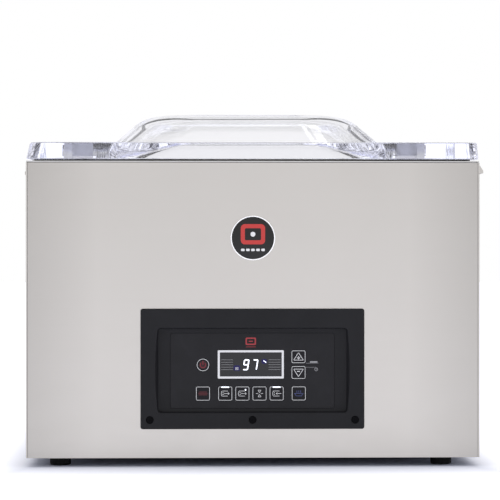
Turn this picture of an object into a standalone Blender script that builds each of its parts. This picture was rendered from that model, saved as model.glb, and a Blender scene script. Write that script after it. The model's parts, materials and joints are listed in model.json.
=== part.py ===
"""Tabletop chamber vacuum packing machine, closed, in metres.

The front faces -Y, +X is the right-hand side seen from the front, and +Z is up.
The origin is on the ground, at the middle of the footprint. The casing is folded
sheet around a welded chamber tub; the clear lid hinges on a shaft behind the tub.
"""
import math

import bmesh
import bpy
from mathutils import Matrix, Vector

NAME = "vacuum_packing_machine"

# Casing
HALF_WIDTH = 0.242
FRONT_Y = -0.262
REAR_Y = 0.258
DEPTH_END_Y = 0.2645
FOOT_HEIGHT = 0.0095
BODY_TOP = 0.3261
SHEET = 0.0015
GAP = 0.0003
RETURN_DEPTH = 0.014
TRAY_FLANGE = 0.022
TRAY_FLOOR = FOOT_HEIGHT + SHEET + GAP
FOOT_LEFT_X = -0.2069
FOOT_RIGHT_X = 0.2040
FOOT_FRONT_Y = -0.229
FOOT_REAR_Y = 0.215
FOOT_RADIUS = 0.0113
FOOT_STUD = 0.003

# Air hoods along the sides, and vents in the rear panel
LOUVRE_PITCH = 0.052
LOUVRE_LENGTH = 0.046
LOUVRE_TOP_Z = 0.3237
LOUVRE_LIP_Z = 0.3135
LOUVRE_PROUD = 0.0065
LOUVRE_CHEEK = 0.0012
VENT_ROWS = 2
VENTS_IN_ROW = 6
VENT_LENGTH = 0.042
VENT_WIDTH = 0.005
VENT_PITCH_X = 0.052
VENT_PITCH_Z = 0.014
VENT_X = -0.150
VENT_Z = 0.150

# Chamber and lid share this centre line across the depth
CHAMBER_Y = -0.020
CHAMBER_HALF_X = 0.215
CHAMBER_HALF_Y = 0.2075
CHAMBER_CORNER = 0.030
CHAMBER_FLOOR = 0.206
CHAMBER_FILLET = 0.012

# Lid
LID_BOTTOM = 0.328
LID_TOP = 0.346
LID_HALF_X = 0.2425
LID_HALF_Y = 0.242
LID_DRAFT = 0.0023
LID_LEAN = 0.0013
LID_CORNER = 0.016
DOME_TOP = 0.3845
DOME_X = -0.0023
DOME_TOP_HALF = 0.093
DOME_SIDE_EXTRA = 0.0025
DOME_SHOULDER = 0.052
DOME_SLOPE = math.radians(42)
DOME_FILLET = 0.017
DOME_WALL = 0.0055
HOLLOW_FILLET = 0.012
DOME_SHORTER_Y = 0.0165
DOME_CORNER_TOP = 0.045
DOME_CORNER_GROWTH = 0.52
GASKET_INSET = 0.0080
GASKET_WIDTH = 0.0100

# Hinges. From the middle out, each has an inner ear, a spring, the lid's arm and an outer ear
HINGE_Y = 0.2475
HINGE_Z = 0.3370
SHAFT_RADIUS = 0.0035
BARREL_RADIUS = 0.0065
EAR_RADIUS = 0.0085
LEAF_HALF_Z = 0.0042
INNER_EAR = (0.1470, 0.1570)
SPRING = (0.1588, 0.1772)
ARM = (0.1790, 0.2030)
OUTER_EAR = (0.2033, 0.2133)
SPRING_WIRE = 0.0010
SPRING_RADIUS = 0.0055
SPRING_TURNS = 6

# Seal bar
SEAL_BAR_Y = -0.205
SEAL_BAR_HALF_X = 0.210
SEAL_BAR_HALF_Y = 0.0075
SEAL_BAR_BOTTOM = 0.2825
SEAL_BAR_TOP = 0.3075
SEAL_LEG_X = 0.150
PISTON_RADIUS = 0.008

# Control panel, measured from the casing's centre line
BEZEL_X = -0.0008
BEZEL_HALF_X = 0.1193
BEZEL_LOW_Z = 0.0403
BEZEL_HIGH_Z = 0.1685
BEZEL_FACE_Y = -0.2645
WINDOW_HALF_X = 0.1052
WINDOW_LOW_Z = 0.0534
WINDOW_HIGH_Z = 0.1522
RECESS_HALF_X = 0.1018
RECESS_LOW_Z = 0.0572
RECESS_HIGH_Z = 0.1483
RECESS_BOW = 0.0020
RECESS_WALL = 0.0070
POCKET_HALF_X = 0.0878
POCKET_LOW_Z = 0.0616
POCKET_HIGH_Z = 0.1424
KEYPAD_Y = -0.2562
KEYPAD_THICK = 0.0012
KEY_PROUD = 0.0005
KEY_DEEP = 0.0010
KEY_HALF = 0.0074
KEY_CORNER = 0.0016
POWER_KEY_X = -0.0536
POWER_KEY_Z = 0.1083
POWER_KEY_RADIUS = 0.0068
DISPLAY_X = -0.0025
DISPLAY_Z = 0.1088
DISPLAY_HALF_X = 0.0354
DISPLAY_HALF_Z = 0.0152
ARROW_X = 0.0485
ARROW_HALF_Z = 0.0067
ARROW_Z = {"key_up": 0.1169, "key_down": 0.1001}
ROW_Z = 0.0777
ROW_X = {
    "key_stop": -0.0536,
    "key_vacuum": -0.0298,
    "key_vacuum_plus": -0.0115,
    "key_seal": 0.0068,
    "key_gas": 0.0251,
    "key_tray": 0.0488,
}

BEZEL_SCREW_Z = 0.0501
SCREW_SHANK = 0.0018
SCREW_HEAD = 0.0040
BEZEL_SCREWS = (
    ("bezel_screw_left", BEZEL_X - 0.1094),
    ("bezel_screw_middle", BEZEL_X),
    ("bezel_screw_right", BEZEL_X + 0.1094),
)

BADGE_RADIUS = 0.0237
BADGE_X = -0.0004
BADGE_Z = 0.2438

# Rear connections
INLET_X = 0.150
SWITCH_X = 0.100
CONNECTION_Z = 0.058
GAS_INLET_X = 0.055
ROCKER_Y = 0.2565
ROCKER_TILT = -10

# Vacuum pump
PUMP_Z = 0.095
MOTOR_RADIUS = 0.060
VALVE_X = 0.070
SUCTION_Z = 0.262

SEGMENTS = 24


def clear_scene():
    for obj in list(bpy.data.objects):
        bpy.data.objects.remove(obj, do_unlink=True)


def new_collection(name):
    made = bpy.data.collections.new(name)
    bpy.context.scene.collection.children.link(made)
    return made


clear_scene()
PARTS = new_collection(NAME)
CUTTERS = new_collection(NAME + "_cutters")


def material(name, color, roughness, metallic=0.0, transmission=0.0):
    made = bpy.data.materials.new(name)
    made.use_nodes = True
    shader = made.node_tree.nodes["Principled BSDF"]
    shader.inputs["Base Color"].default_value = (*color, 1.0)
    shader.inputs["Roughness"].default_value = roughness
    shader.inputs["Metallic"].default_value = metallic
    shader.inputs["Transmission Weight"].default_value = transmission
    return made


FINISHES = {
    "steel": ((0.62, 0.60, 0.58), 0.32, 1.0, 0.0),
    "zinc": ((0.50, 0.51, 0.52), 0.45, 1.0, 0.0),
    "bright_steel": ((0.70, 0.70, 0.70), 0.15, 1.0, 0.0),
    "aluminium": ((0.70, 0.71, 0.72), 0.35, 1.0, 0.0),
    "painted_iron": ((0.12, 0.13, 0.15), 0.50, 0.0, 0.0),
    "brass": ((0.72, 0.52, 0.22), 0.30, 1.0, 0.0),
    "rubber": ((0.012, 0.012, 0.011), 0.75, 0.0, 0.0),
    "silicone": ((0.55, 0.12, 0.08), 0.60, 0.0, 0.0),
    "ptfe_tape": ((0.42, 0.32, 0.20), 0.55, 0.0, 0.0),
    "black_plastic": ((0.022, 0.021, 0.025), 0.42, 0.0, 0.0),
    "keypad_film": ((0.024, 0.023, 0.027), 0.35, 0.0, 0.0),
    "cast_grey": ((0.22, 0.22, 0.24), 0.50, 0.0, 0.0),
    "white_plastic": ((0.80, 0.80, 0.78), 0.45, 0.0, 0.0),
    "circuit_board": ((0.02, 0.16, 0.06), 0.50, 0.0, 0.0),
    "clear_acrylic": ((0.93, 0.95, 0.99), 0.03, 0.0, 1.0),
}


def finish(node, kind):
    """A material of its own for one sub-part."""
    color, roughness, metallic, transmission = FINISHES[kind]
    return material(node + "_finish", color, roughness, metallic, transmission)


def box_mesh(low, high):
    size = Vector(high) - Vector(low)
    middle = (Vector(high) + Vector(low)) / 2
    mesh = bmesh.new()
    bmesh.ops.create_cube(mesh, size=1.0, matrix=Matrix.Translation(middle) @ Matrix.Diagonal((*size, 1.0)))
    return mesh


TURN = {
    "x": Matrix.Rotation(math.radians(90), 4, "Y"),
    "y": Matrix.Rotation(math.radians(-90), 4, "X"),
    "z": Matrix.Identity(4),
}


def rod_mesh(axis, centre, radius, length, segments=SEGMENTS, end_radius=None):
    """A cylinder or cone along an axis; end_radius is the radius at its +axis end."""
    mesh = bmesh.new()
    bmesh.ops.create_cone(
        mesh,
        cap_ends=True,
        segments=segments,
        radius1=radius,
        radius2=radius if end_radius is None else end_radius,
        depth=length,
        matrix=Matrix.Translation(centre) @ TURN[axis],
    )
    return mesh


def together(*meshes):
    """One mesh that holds several closed bodies, for a cutter or a Boolean operand."""
    joined = bmesh.new()
    for mesh in meshes:
        data = bpy.data.meshes.new("joined")
        mesh.to_mesh(data)
        mesh.free()
        joined.from_mesh(data)
        bpy.data.meshes.remove(data)
    return joined


PLANES = {
    "front": Matrix(((1, 0, 0, 0), (0, 0, -1, 0), (0, 1, 0, 0), (0, 0, 0, 1))),
    "side": Matrix(((0, 0, 1, 0), (1, 0, 0, 0), (0, 1, 0, 0), (0, 0, 0, 1))),
    "top": Matrix.Identity(4),
}
SHIFT = {"front": (0, 1, 0), "side": (1, 0, 0), "top": (0, 0, 1)}


def flat_mesh(plane, low, high, *loops):
    """A flat outline, and the holes in it, drawn as a filled 2D curve from low to high."""
    curve = bpy.data.curves.new("outline", "CURVE")
    curve.dimensions = "2D"
    curve.fill_mode = "BOTH"
    curve.extrude = (high - low) / 2
    for loop in loops:
        spline = curve.splines.new("POLY")
        spline.points.add(len(loop) - 1)
        for point, (across, along) in zip(spline.points, loop):
            point.co = (across, along, 0.0, 1.0)
        spline.use_cyclic_u = True
    holder = bpy.data.objects.new("outline", curve)
    PARTS.objects.link(holder)
    graph = bpy.context.evaluated_depsgraph_get()
    data = bpy.data.meshes.new_from_object(holder.evaluated_get(graph))
    bpy.data.objects.remove(holder, do_unlink=True)
    mesh = bmesh.new()
    mesh.from_mesh(data)
    bpy.data.meshes.remove(data)
    bmesh.ops.remove_doubles(mesh, verts=mesh.verts, dist=1e-6)
    mesh.transform(Matrix.Translation(Vector(SHIFT[plane]) * (low + high) / 2) @ PLANES[plane])
    bmesh.ops.recalc_face_normals(mesh, faces=mesh.faces)
    return mesh


def arc(centre, radius, start, end, steps):
    """Points from angle start to angle end, in degrees, both included."""
    angles = [math.radians(start + (end - start) * step / steps) for step in range(steps + 1)]
    return [(centre[0] + radius * math.cos(a), centre[1] + radius * math.sin(a)) for a in angles]


def circle(centre, radius, steps=SEGMENTS):
    return arc(centre, radius, 0, 360, steps)[:-1]


def rounded_rectangle(low, high, radius, steps=4):
    """Points around a rectangle with round corners, anticlockwise."""
    points = []
    for x, y, start in (
        (high[0] - radius, high[1] - radius, 0),
        (low[0] + radius, high[1] - radius, 90),
        (low[0] + radius, low[1] + radius, 180),
        (high[0] - radius, low[1] + radius, 270),
    ):
        points += arc((x, y), radius, start, start + 90, steps)
    return points


def level_ring(half_x, half_y, radius, z, centre_y=CHAMBER_Y, steps=6):
    """A horizontal ring, for a loft."""
    outline = rounded_rectangle((-half_x, centre_y - half_y), (half_x, centre_y + half_y), radius, steps)
    return [Vector((x, y, z)) for x, y in outline]


def bowed(start, end, bow, steps=8):
    """Points between the ends of an upright side that bows sideways at its middle."""
    shares = [step / steps for step in range(1, steps)]
    return [(start[0] + bow * 4 * t * (1 - t), start[1] + (end[1] - start[1]) * t) for t in shares]


def upright_ring(low, high, radius, y, bow=0.0):
    """A ring in a plane parallel to the front, for a loft. Its left and right sides can bow outwards."""
    corners = rounded_rectangle(low, high, radius, 4)
    half = len(corners) // 2
    outline = corners[:half] + bowed(corners[half - 1], corners[half], -bow)
    outline += corners[half:] + bowed(corners[-1], corners[0], bow)
    return [Vector((x, y, z)) for x, z in outline]


def loft(rings, closed=False):
    """Quads between rings of equal length. The ends are capped, or the last ring meets the first."""
    mesh = bmesh.new()
    rows = [[mesh.verts.new(point) for point in ring] for ring in rings]
    pairs = list(zip(rows, rows[1:]))
    if closed:
        pairs.append((rows[-1], rows[0]))
    else:
        mesh.faces.new(rows[0])
        mesh.faces.new(rows[-1])
    for lower, upper in pairs:
        for i in range(len(lower)):
            mesh.faces.new((lower[i - 1], lower[i], upper[i], upper[i - 1]))
    bmesh.ops.recalc_face_normals(mesh, faces=mesh.faces)
    return mesh


def piece(name, kind, mesh, origin=(0.0, 0.0, 0.0), sharp=35):
    """A sub-part whose origin is at the given point, with its own material."""
    mesh.transform(Matrix.Translation(-Vector(origin)))
    data = bpy.data.meshes.new(name)
    mesh.to_mesh(data)
    mesh.free()
    data.shade_smooth()
    data.set_sharp_from_angle(angle=math.radians(sharp))
    data.materials.append(finish(name, kind))
    obj = bpy.data.objects.new(name, data)
    obj.location = origin
    PARTS.objects.link(obj)
    return obj


def bevel(obj, width, segments=2):
    modifier = obj.modifiers.new("edges", "BEVEL")
    modifier.width = width
    modifier.segments = segments
    modifier.limit_method = "ANGLE"
    return obj


def combine(obj, mesh, operation):
    """Joins a mesh to an object, or cuts it away, with a live Boolean."""
    data = bpy.data.meshes.new(obj.name + "_" + operation.lower())
    mesh.to_mesh(data)
    mesh.free()
    tool = bpy.data.objects.new(data.name, data)
    tool.hide_render = True
    tool.display_type = "WIRE"
    CUTTERS.objects.link(tool)
    modifier = obj.modifiers.new(operation.lower(), "BOOLEAN")
    modifier.operation = operation
    modifier.object = tool
    return obj


def cut(obj, mesh):
    return combine(obj, mesh, "DIFFERENCE")


def add(obj, mesh):
    return combine(obj, mesh, "UNION")


def wire(name, kind, points, radius, smoothness):
    """A round wire or hose along a line of points, with flat ends."""
    curve = bpy.data.curves.new(name, "CURVE")
    curve.dimensions = "3D"
    curve.bevel_depth = radius
    curve.bevel_resolution = smoothness
    curve.use_fill_caps = True
    spline = curve.splines.new("POLY")
    spline.points.add(len(points) - 1)
    for point, place in zip(spline.points, points):
        point.co = (*place, 1.0)
    curve.materials.append(finish(name, kind))
    obj = bpy.data.objects.new(name, curve)
    PARTS.objects.link(obj)
    return obj


def pivot(name, location, pieces):
    """An empty on a joint's axis, with the pieces that turn or slide with it as its children."""
    empty = bpy.data.objects.new(name, None)
    empty.location = location
    empty.empty_display_size = 0.02
    PARTS.objects.link(empty)
    for obj in pieces:
        obj.parent = empty
        obj.matrix_parent_inverse = Matrix.Translation(-Vector(location))
    return empty


# Casing -----------------------------------------------------------------------------------------

PANEL_HALF_X = HALF_WIDTH - SHEET - GAP
PANEL_TOP = BODY_TOP - SHEET - GAP


def base_tray():
    half_x = PANEL_HALF_X - SHEET - GAP
    front = FRONT_Y + SHEET + GAP
    rear = REAR_Y - SHEET - GAP
    tray = piece("base_tray", "zinc", box_mesh(
        (-half_x, front, FOOT_HEIGHT),
        (half_x, rear, FOOT_HEIGHT + TRAY_FLANGE),
    ))
    cut(tray, box_mesh(
        (-half_x + SHEET, front + SHEET, FOOT_HEIGHT + SHEET),
        (half_x - SHEET, rear - SHEET, FOOT_HEIGHT + TRAY_FLANGE + SHEET),
    ))
    holes = [rod_mesh("z", (x, y, FOOT_HEIGHT), FOOT_STUD + GAP, 0.01, 12) for _, x, y in foot_places()]
    cut(tray, together(*holes))
    return tray


def foot_places():
    for depth, y in (("front", FOOT_FRONT_Y), ("rear", FOOT_REAR_Y)):
        for side, x in (("left", FOOT_LEFT_X), ("right", FOOT_RIGHT_X)):
            yield f"foot_{depth}_{side}", x, y


def feet():
    """Moulded rubber feet, each turned from its half profile, with a stud through the tray."""
    top = FOOT_HEIGHT - GAP
    chamfer = 0.0012
    half_profile = [
        (0.0, top + 0.008),
        (FOOT_STUD, top + 0.008),
        (FOOT_STUD, top),
        (FOOT_RADIUS - chamfer / 2, top),
        (FOOT_RADIUS, top - chamfer),
        (FOOT_RADIUS - chamfer / 2, chamfer),
        (FOOT_RADIUS - chamfer * 1.5, 0.0),
        (0.0, 0.0),
    ]
    for name, x, y in foot_places():
        mesh = bmesh.new()
        points = [mesh.verts.new((radius, 0.0, z)) for radius, z in half_profile]
        for first, second in zip(points, points[1:]):
            mesh.edges.new((first, second))
        foot = piece(name, "rubber", mesh)
        foot.location = (x, y, 0.0)
        screw = foot.modifiers.new("turn", "SCREW")
        screw.steps = SEGMENTS
        screw.render_steps = SEGMENTS
        screw.use_merge_vertices = True
        screw.merge_threshold = 0.0001


def folded_panel(name, face_y, inward):
    """A flat sheet with a return down each side. inward is the way to the casing's inside."""
    inner = face_y + inward * SHEET
    end = face_y + inward * RETURN_DEPTH
    outline = [
        (-PANEL_HALF_X, face_y),
        (PANEL_HALF_X, face_y),
        (PANEL_HALF_X, end),
        (PANEL_HALF_X - SHEET, end),
        (PANEL_HALF_X - SHEET, inner),
        (-PANEL_HALF_X + SHEET, inner),
        (-PANEL_HALF_X + SHEET, end),
        (-PANEL_HALF_X, end),
    ]
    return piece(name, "steel", flat_mesh("top", FOOT_HEIGHT, PANEL_TOP, outline))


def front_panel():
    panel = folded_panel("front_panel", FRONT_Y, 1)
    holes = [box_mesh(
        (BEZEL_X - WINDOW_HALF_X, FRONT_Y - 0.005, WINDOW_LOW_Z),
        (BEZEL_X + WINDOW_HALF_X, FRONT_Y + 0.005, WINDOW_HIGH_Z),
    )]
    for _, x in BEZEL_SCREWS:
        holes.append(rod_mesh("y", (x, FRONT_Y, BEZEL_SCREW_Z), SCREW_SHANK + GAP, 0.01, 12))
    return cut(panel, together(*holes))


def rear_panel():
    panel = folded_panel("rear_panel", REAR_Y, -1)
    low = REAR_Y - 0.005
    high = REAR_Y + 0.005
    cutters = []
    for row in range(VENT_ROWS):
        for column in range(VENTS_IN_ROW):
            x = VENT_X + column * VENT_PITCH_X
            z = VENT_Z + row * VENT_PITCH_Z
            slot = rounded_rectangle(
                (x - VENT_LENGTH / 2, z - VENT_WIDTH / 2), (x + VENT_LENGTH / 2, z + VENT_WIDTH / 2),
                VENT_WIDTH * 0.49, 2,
            )
            cutters.append(flat_mesh("front", low, high, slot))
    cutters.append(box_mesh(
        (INLET_X - 0.0150, low, CONNECTION_Z - 0.0110), (INLET_X + 0.0150, high, CONNECTION_Z + 0.0110),
    ))
    cutters.append(box_mesh(
        (SWITCH_X - 0.0108, low, CONNECTION_Z - 0.0143), (SWITCH_X + 0.0108, high, CONNECTION_Z + 0.0143),
    ))
    cutters.append(rod_mesh("y", (GAS_INLET_X, REAR_Y, CONNECTION_Z), 0.0063, 0.01, 16))
    return cut(panel, together(*cutters))


def side_panel(name, side, first_y, count):
    """A side sheet with a row of pressed hoods just under its top edge, open downwards."""
    outer = side * HALF_WIDTH
    inner = side * (HALF_WIDTH - SHEET)
    panel = piece(name, "steel", box_mesh(
        (min(inner, outer), FRONT_Y, FOOT_HEIGHT),
        (max(inner, outer), REAR_Y, PANEL_TOP),
    ))
    middle = (inner + outer) / 2
    lip = outer + side * LOUVRE_PROUD
    hood = [
        (middle, LOUVRE_TOP_Z),
        (outer + side * 0.0018, LOUVRE_TOP_Z),
        (lip, LOUVRE_LIP_Z + 0.0030),
        (lip, LOUVRE_LIP_Z),
        (middle, LOUVRE_LIP_Z),
    ]
    throat = [
        (inner - side * 0.001, LOUVRE_TOP_Z - 0.0030),
        (outer, LOUVRE_TOP_Z - 0.0020),
        (lip - side * 0.0011, LOUVRE_LIP_Z + 0.0026),
        (lip - side * 0.0011, LOUVRE_LIP_Z - 0.001),
        (outer + side * 0.0003, LOUVRE_LIP_Z - 0.001),
        (outer + side * 0.0003, LOUVRE_LIP_Z + 0.001),
        (inner - side * 0.001, LOUVRE_LIP_Z + 0.001),
    ]
    hoods = []
    throats = []
    for number in range(count):
        low = first_y + number * LOUVRE_PITCH
        high = low + LOUVRE_LENGTH
        hoods.append(flat_mesh("front", low, high, hood))
        throats.append(flat_mesh("front", low + LOUVRE_CHEEK, high - LOUVRE_CHEEK, throat))
    add(panel, together(*hoods))
    return cut(panel, together(*throats))


def chamber_tub():
    """The welded tub and its deck, as one loft from the chamber floor over the deck to the underside."""
    def inside(inset, z, radius):
        return level_ring(CHAMBER_HALF_X - inset, CHAMBER_HALF_Y - inset, radius - inset, z)

    def outside(inset, z, radius):
        return level_ring(
            CHAMBER_HALF_X + SHEET - inset, CHAMBER_HALF_Y + SHEET - inset, radius + SHEET - inset, z,
        )

    deck_y = (FRONT_Y + REAR_Y) / 2
    deck_half_y = (REAR_Y - FRONT_Y) / 2
    steps = 4
    angles = [math.radians(90 * step / steps) for step in range(steps + 1)]
    rings = []
    for angle in angles:
        inset = CHAMBER_FILLET * (1 - math.sin(angle))
        rings.append(inside(inset, CHAMBER_FLOOR + CHAMBER_FILLET * (1 - math.cos(angle)), CHAMBER_CORNER))
    rings.append(inside(0, BODY_TOP, CHAMBER_CORNER))
    rings.append(level_ring(HALF_WIDTH, deck_half_y, 0.003, BODY_TOP, deck_y))
    rings.append(level_ring(HALF_WIDTH, deck_half_y, 0.003, BODY_TOP - SHEET, deck_y))
    rings.append(outside(0, BODY_TOP - SHEET, CHAMBER_CORNER))
    for angle in reversed(angles):
        inset = CHAMBER_FILLET * (1 - math.sin(angle))
        z = CHAMBER_FLOOR - SHEET + CHAMBER_FILLET * (1 - math.cos(angle))
        rings.append(outside(inset, z, CHAMBER_CORNER))
    tub = piece("chamber_tub", "steel", loft(rings))
    rear_wall = CHAMBER_Y + CHAMBER_HALF_Y
    return cut(tub, rod_mesh("y", (VALVE_X, rear_wall, SUCTION_Z), 0.009, 0.01, 16))


# Controls ---------------------------------------------------------------------------------------

def control_bezel():
    """Moulded frame: a flange on the front panel, and a recess with bowed sides down to the keypad."""
    def ring(half_x, low_z, high_z, radius, y, bow=0.0):
        return upright_ring((BEZEL_X - half_x, low_z), (BEZEL_X + half_x, high_z), radius, y, bow)

    back = FRONT_Y - GAP
    edge = 0.0010
    deep = -0.2520
    box_half_x = WINDOW_HALF_X - GAP
    box_low_z = WINDOW_LOW_Z + GAP
    box_high_z = WINDOW_HIGH_Z - GAP
    lip = 0.0006
    foot = 0.0014
    rings = [
        ring(BEZEL_HALF_X, BEZEL_LOW_Z, BEZEL_HIGH_Z, 0.0025, back),
        ring(BEZEL_HALF_X, BEZEL_LOW_Z, BEZEL_HIGH_Z, 0.0025, BEZEL_FACE_Y + edge),
        ring(BEZEL_HALF_X - edge, BEZEL_LOW_Z + edge, BEZEL_HIGH_Z - edge, 0.0020, BEZEL_FACE_Y),
        ring(RECESS_HALF_X, RECESS_LOW_Z, RECESS_HIGH_Z, 0.0040, BEZEL_FACE_Y, RECESS_BOW),
        ring(
            RECESS_HALF_X - lip, RECESS_LOW_Z + lip, RECESS_HIGH_Z - lip, 0.0036,
            BEZEL_FACE_Y + lip, RECESS_BOW,
        ),
        ring(
            RECESS_HALF_X - foot, RECESS_LOW_Z + foot, RECESS_HIGH_Z - foot, 0.0030,
            BEZEL_FACE_Y + RECESS_WALL,
        ),
        ring(POCKET_HALF_X, POCKET_LOW_Z, POCKET_HIGH_Z, 0.0025, KEYPAD_Y - GAP),
        ring(POCKET_HALF_X, POCKET_LOW_Z, POCKET_HIGH_Z, 0.0025, deep),
        ring(box_half_x, box_low_z, box_high_z, 0.0025, deep),
        ring(box_half_x, box_low_z, box_high_z, 0.0025, back),
    ]
    bezel = piece("control_bezel", "black_plastic", loft(rings, closed=True))
    for depth, radius, steps in ((0.0100, SCREW_SHANK + GAP, 12), (0.0030, SCREW_HEAD + GAP, SEGMENTS)):
        cut(bezel, together(*(
            rod_mesh("y", (x, BEZEL_FACE_Y, BEZEL_SCREW_Z), radius, depth, steps) for _, x in BEZEL_SCREWS
        )))
    return bezel


def bezel_screws():
    """Countersunk into the bezel, with a cross recess."""
    face = BEZEL_FACE_Y + 0.0002
    for name, x in BEZEL_SCREWS:
        head = piece(name, "black_plastic", rod_mesh(
            "y", (x, face + 0.0005, BEZEL_SCREW_Z), SCREW_HEAD - 0.0005, 0.0010, SEGMENTS, SCREW_HEAD,
        ))
        add(head, rod_mesh("y", (x, face + 0.0050, BEZEL_SCREW_Z), SCREW_SHANK, 0.0090, 12))
        arms = (0.0022, 0.0005)
        slots = [
            box_mesh((x - a, face - 0.001, BEZEL_SCREW_Z - b), (x + a, face + 0.0007, BEZEL_SCREW_Z + b))
            for a, b in (arms, arms[::-1])
        ]
        for slot in slots:
            cut(head, slot)


def key_outlines():
    """Each key's name, centre and half sizes. The power key is round and the rest are square."""
    yield "key_power", POWER_KEY_X, POWER_KEY_Z, POWER_KEY_RADIUS, POWER_KEY_RADIUS
    for name, z in ARROW_Z.items():
        yield name, ARROW_X, z, KEY_HALF, ARROW_HALF_Z
    for name, x in ROW_X.items():
        yield name, x, ROW_Z, KEY_HALF, KEY_HALF


def key_loop(name, x, z, half_x, half_z, grow=0.0):
    if name == "key_power":
        return circle((x, z), half_x + grow)
    return rounded_rectangle(
        (x - half_x - grow, z - half_z - grow), (x + half_x + grow, z + half_z + grow), KEY_CORNER + grow, 3,
    )


def display_loop(grow=0.0):
    return rounded_rectangle(
        (DISPLAY_X - DISPLAY_HALF_X - grow, DISPLAY_Z - DISPLAY_HALF_Z - grow),
        (DISPLAY_X + DISPLAY_HALF_X + grow, DISPLAY_Z + DISPLAY_HALF_Z + grow),
        0.0010 + grow, 2,
    )


def keypad():
    plate = rounded_rectangle(
        (BEZEL_X - POCKET_HALF_X + GAP, POCKET_LOW_Z + GAP),
        (BEZEL_X + POCKET_HALF_X - GAP, POCKET_HIGH_Z - GAP),
        0.0022, 3,
    )
    holes = [key_loop(*outline, grow=GAP) for outline in key_outlines()]
    holes.append(display_loop(GAP))
    piece("keypad_overlay", "keypad_film", flat_mesh(
        "front", KEYPAD_Y, KEYPAD_Y + KEYPAD_THICK, plate, *holes,
    ))
    piece("display_window", "keypad_film", flat_mesh(
        "front", KEYPAD_Y - 0.0003, KEYPAD_Y + KEYPAD_THICK, display_loop(),
    ))
    for outline in key_outlines():
        name, x, z = outline[:3]
        piece(name, "keypad_film", flat_mesh(
            "front", KEYPAD_Y - KEY_PROUD, KEYPAD_Y + KEY_DEEP, key_loop(*outline),
        ), origin=(x, KEYPAD_Y, z))


def control_board():
    front = KEYPAD_Y + KEYPAD_THICK + 0.0008
    half_x = POCKET_HALF_X - 0.001
    low_z = POCKET_LOW_Z + 0.001
    high_z = POCKET_HIGH_Z - 0.001
    board = piece("control_board", "circuit_board", box_mesh(
        (BEZEL_X - half_x, front, low_z), (BEZEL_X + half_x, front + 0.0016, high_z),
    ))
    parts = [
        box_mesh((x - 0.009, front + 0.001, z - 0.007), (x + 0.009, front + 0.017, z + 0.007))
        for x, z in ((-0.060, 0.080), (-0.030, 0.080), (0.050, 0.090))
    ]
    parts.append(box_mesh((-0.060, front + 0.001, 0.112), (-0.020, front + 0.009, 0.122)))
    return add(board, together(*parts))


def badge_disc():
    badge = piece("badge_disc", "black_plastic", rod_mesh(
        "y", (BADGE_X, FRONT_Y - GAP - 0.0007, BADGE_Z), BADGE_RADIUS, 0.0014, 48,
    ))
    return bevel(badge, 0.0004, 1)


# Lid --------------------------------------------------------------------------------------------

def dome_profile(top_z, base_z, top_half, shoulder, base_fillet, steps):
    """Half width and height down one side of the dome: flat top, shoulder, straight slope, foot fillet."""
    points = []
    for step in range(steps + 1):
        angle = DOME_SLOPE * step / steps
        points.append((top_half + shoulder * math.sin(angle), top_z - shoulder * (1 - math.cos(angle))))
    half, z = points[-1]
    fillet_top = base_z + base_fillet * (1 - math.cos(DOME_SLOPE))
    base_half = half + (z - fillet_top) / math.tan(DOME_SLOPE) + base_fillet * math.sin(DOME_SLOPE)
    for step in range(steps, -1, -1):
        angle = DOME_SLOPE * step / steps
        half = base_half - base_fillet * math.sin(angle)
        points.append((half, base_z + base_fillet * (1 - math.cos(angle))))
    return points


def dome_rings(profile, side_extra):
    """Level rings down the profile, wider at the two sides by the extra."""
    top_half = profile[0][0]
    rings = []
    for half, z in profile:
        corner = DOME_CORNER_TOP + DOME_CORNER_GROWTH * (half - top_half)
        ring = level_ring(half + side_extra, half - DOME_SHORTER_Y, corner, z)
        rings.append([point + Vector((DOME_X, 0.0, 0.0)) for point in ring])
    return rings


def slab_ring(inset, z, lean=0.0):
    ring = level_ring(LID_HALF_X - inset, LID_HALF_Y - inset, LID_CORNER, z)
    return [point + Vector((lean, 0.0, 0.0)) for point in ring]


def lid_shell():
    """Cast slab with a blown dome, thicker at its sides, as one loft from its top round to its hollow."""
    outer = dome_profile(DOME_TOP, LID_TOP, DOME_TOP_HALF, DOME_SHOULDER, DOME_FILLET, 4)
    inner = dome_profile(
        DOME_TOP - DOME_WALL, LID_BOTTOM, DOME_TOP_HALF, DOME_SHOULDER - DOME_WALL, HOLLOW_FILLET, 4,
    )
    edge = 0.0012
    rings = dome_rings(outer, DOME_SIDE_EXTRA)
    rings.append(slab_ring(LID_DRAFT + edge, LID_TOP, LID_LEAN))
    rings.append(slab_ring(LID_DRAFT, LID_TOP - edge, LID_LEAN))
    rings.append(slab_ring(0.0, LID_BOTTOM + edge))
    rings.append(slab_ring(edge / 2, LID_BOTTOM))
    rings += reversed(dome_rings(inner, -DOME_SIDE_EXTRA))
    return piece("lid_shell", "clear_acrylic", loft(rings))


def lid_gasket():
    """A flat seal bonded under the slab, just proud enough to meet the deck."""
    outer = GASKET_INSET
    inner = GASKET_INSET + GASKET_WIDTH
    low = BODY_TOP + GAP
    high = LID_BOTTOM - GAP
    edge = 0.0004
    rings = [
        slab_ring(outer, high),
        slab_ring(outer, low + edge),
        slab_ring(outer + edge, low),
        slab_ring(inner - edge, low),
        slab_ring(inner, low + edge),
        slab_ring(inner, high),
    ]
    return piece("lid_gasket", "rubber", loft(rings, closed=True))


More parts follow.
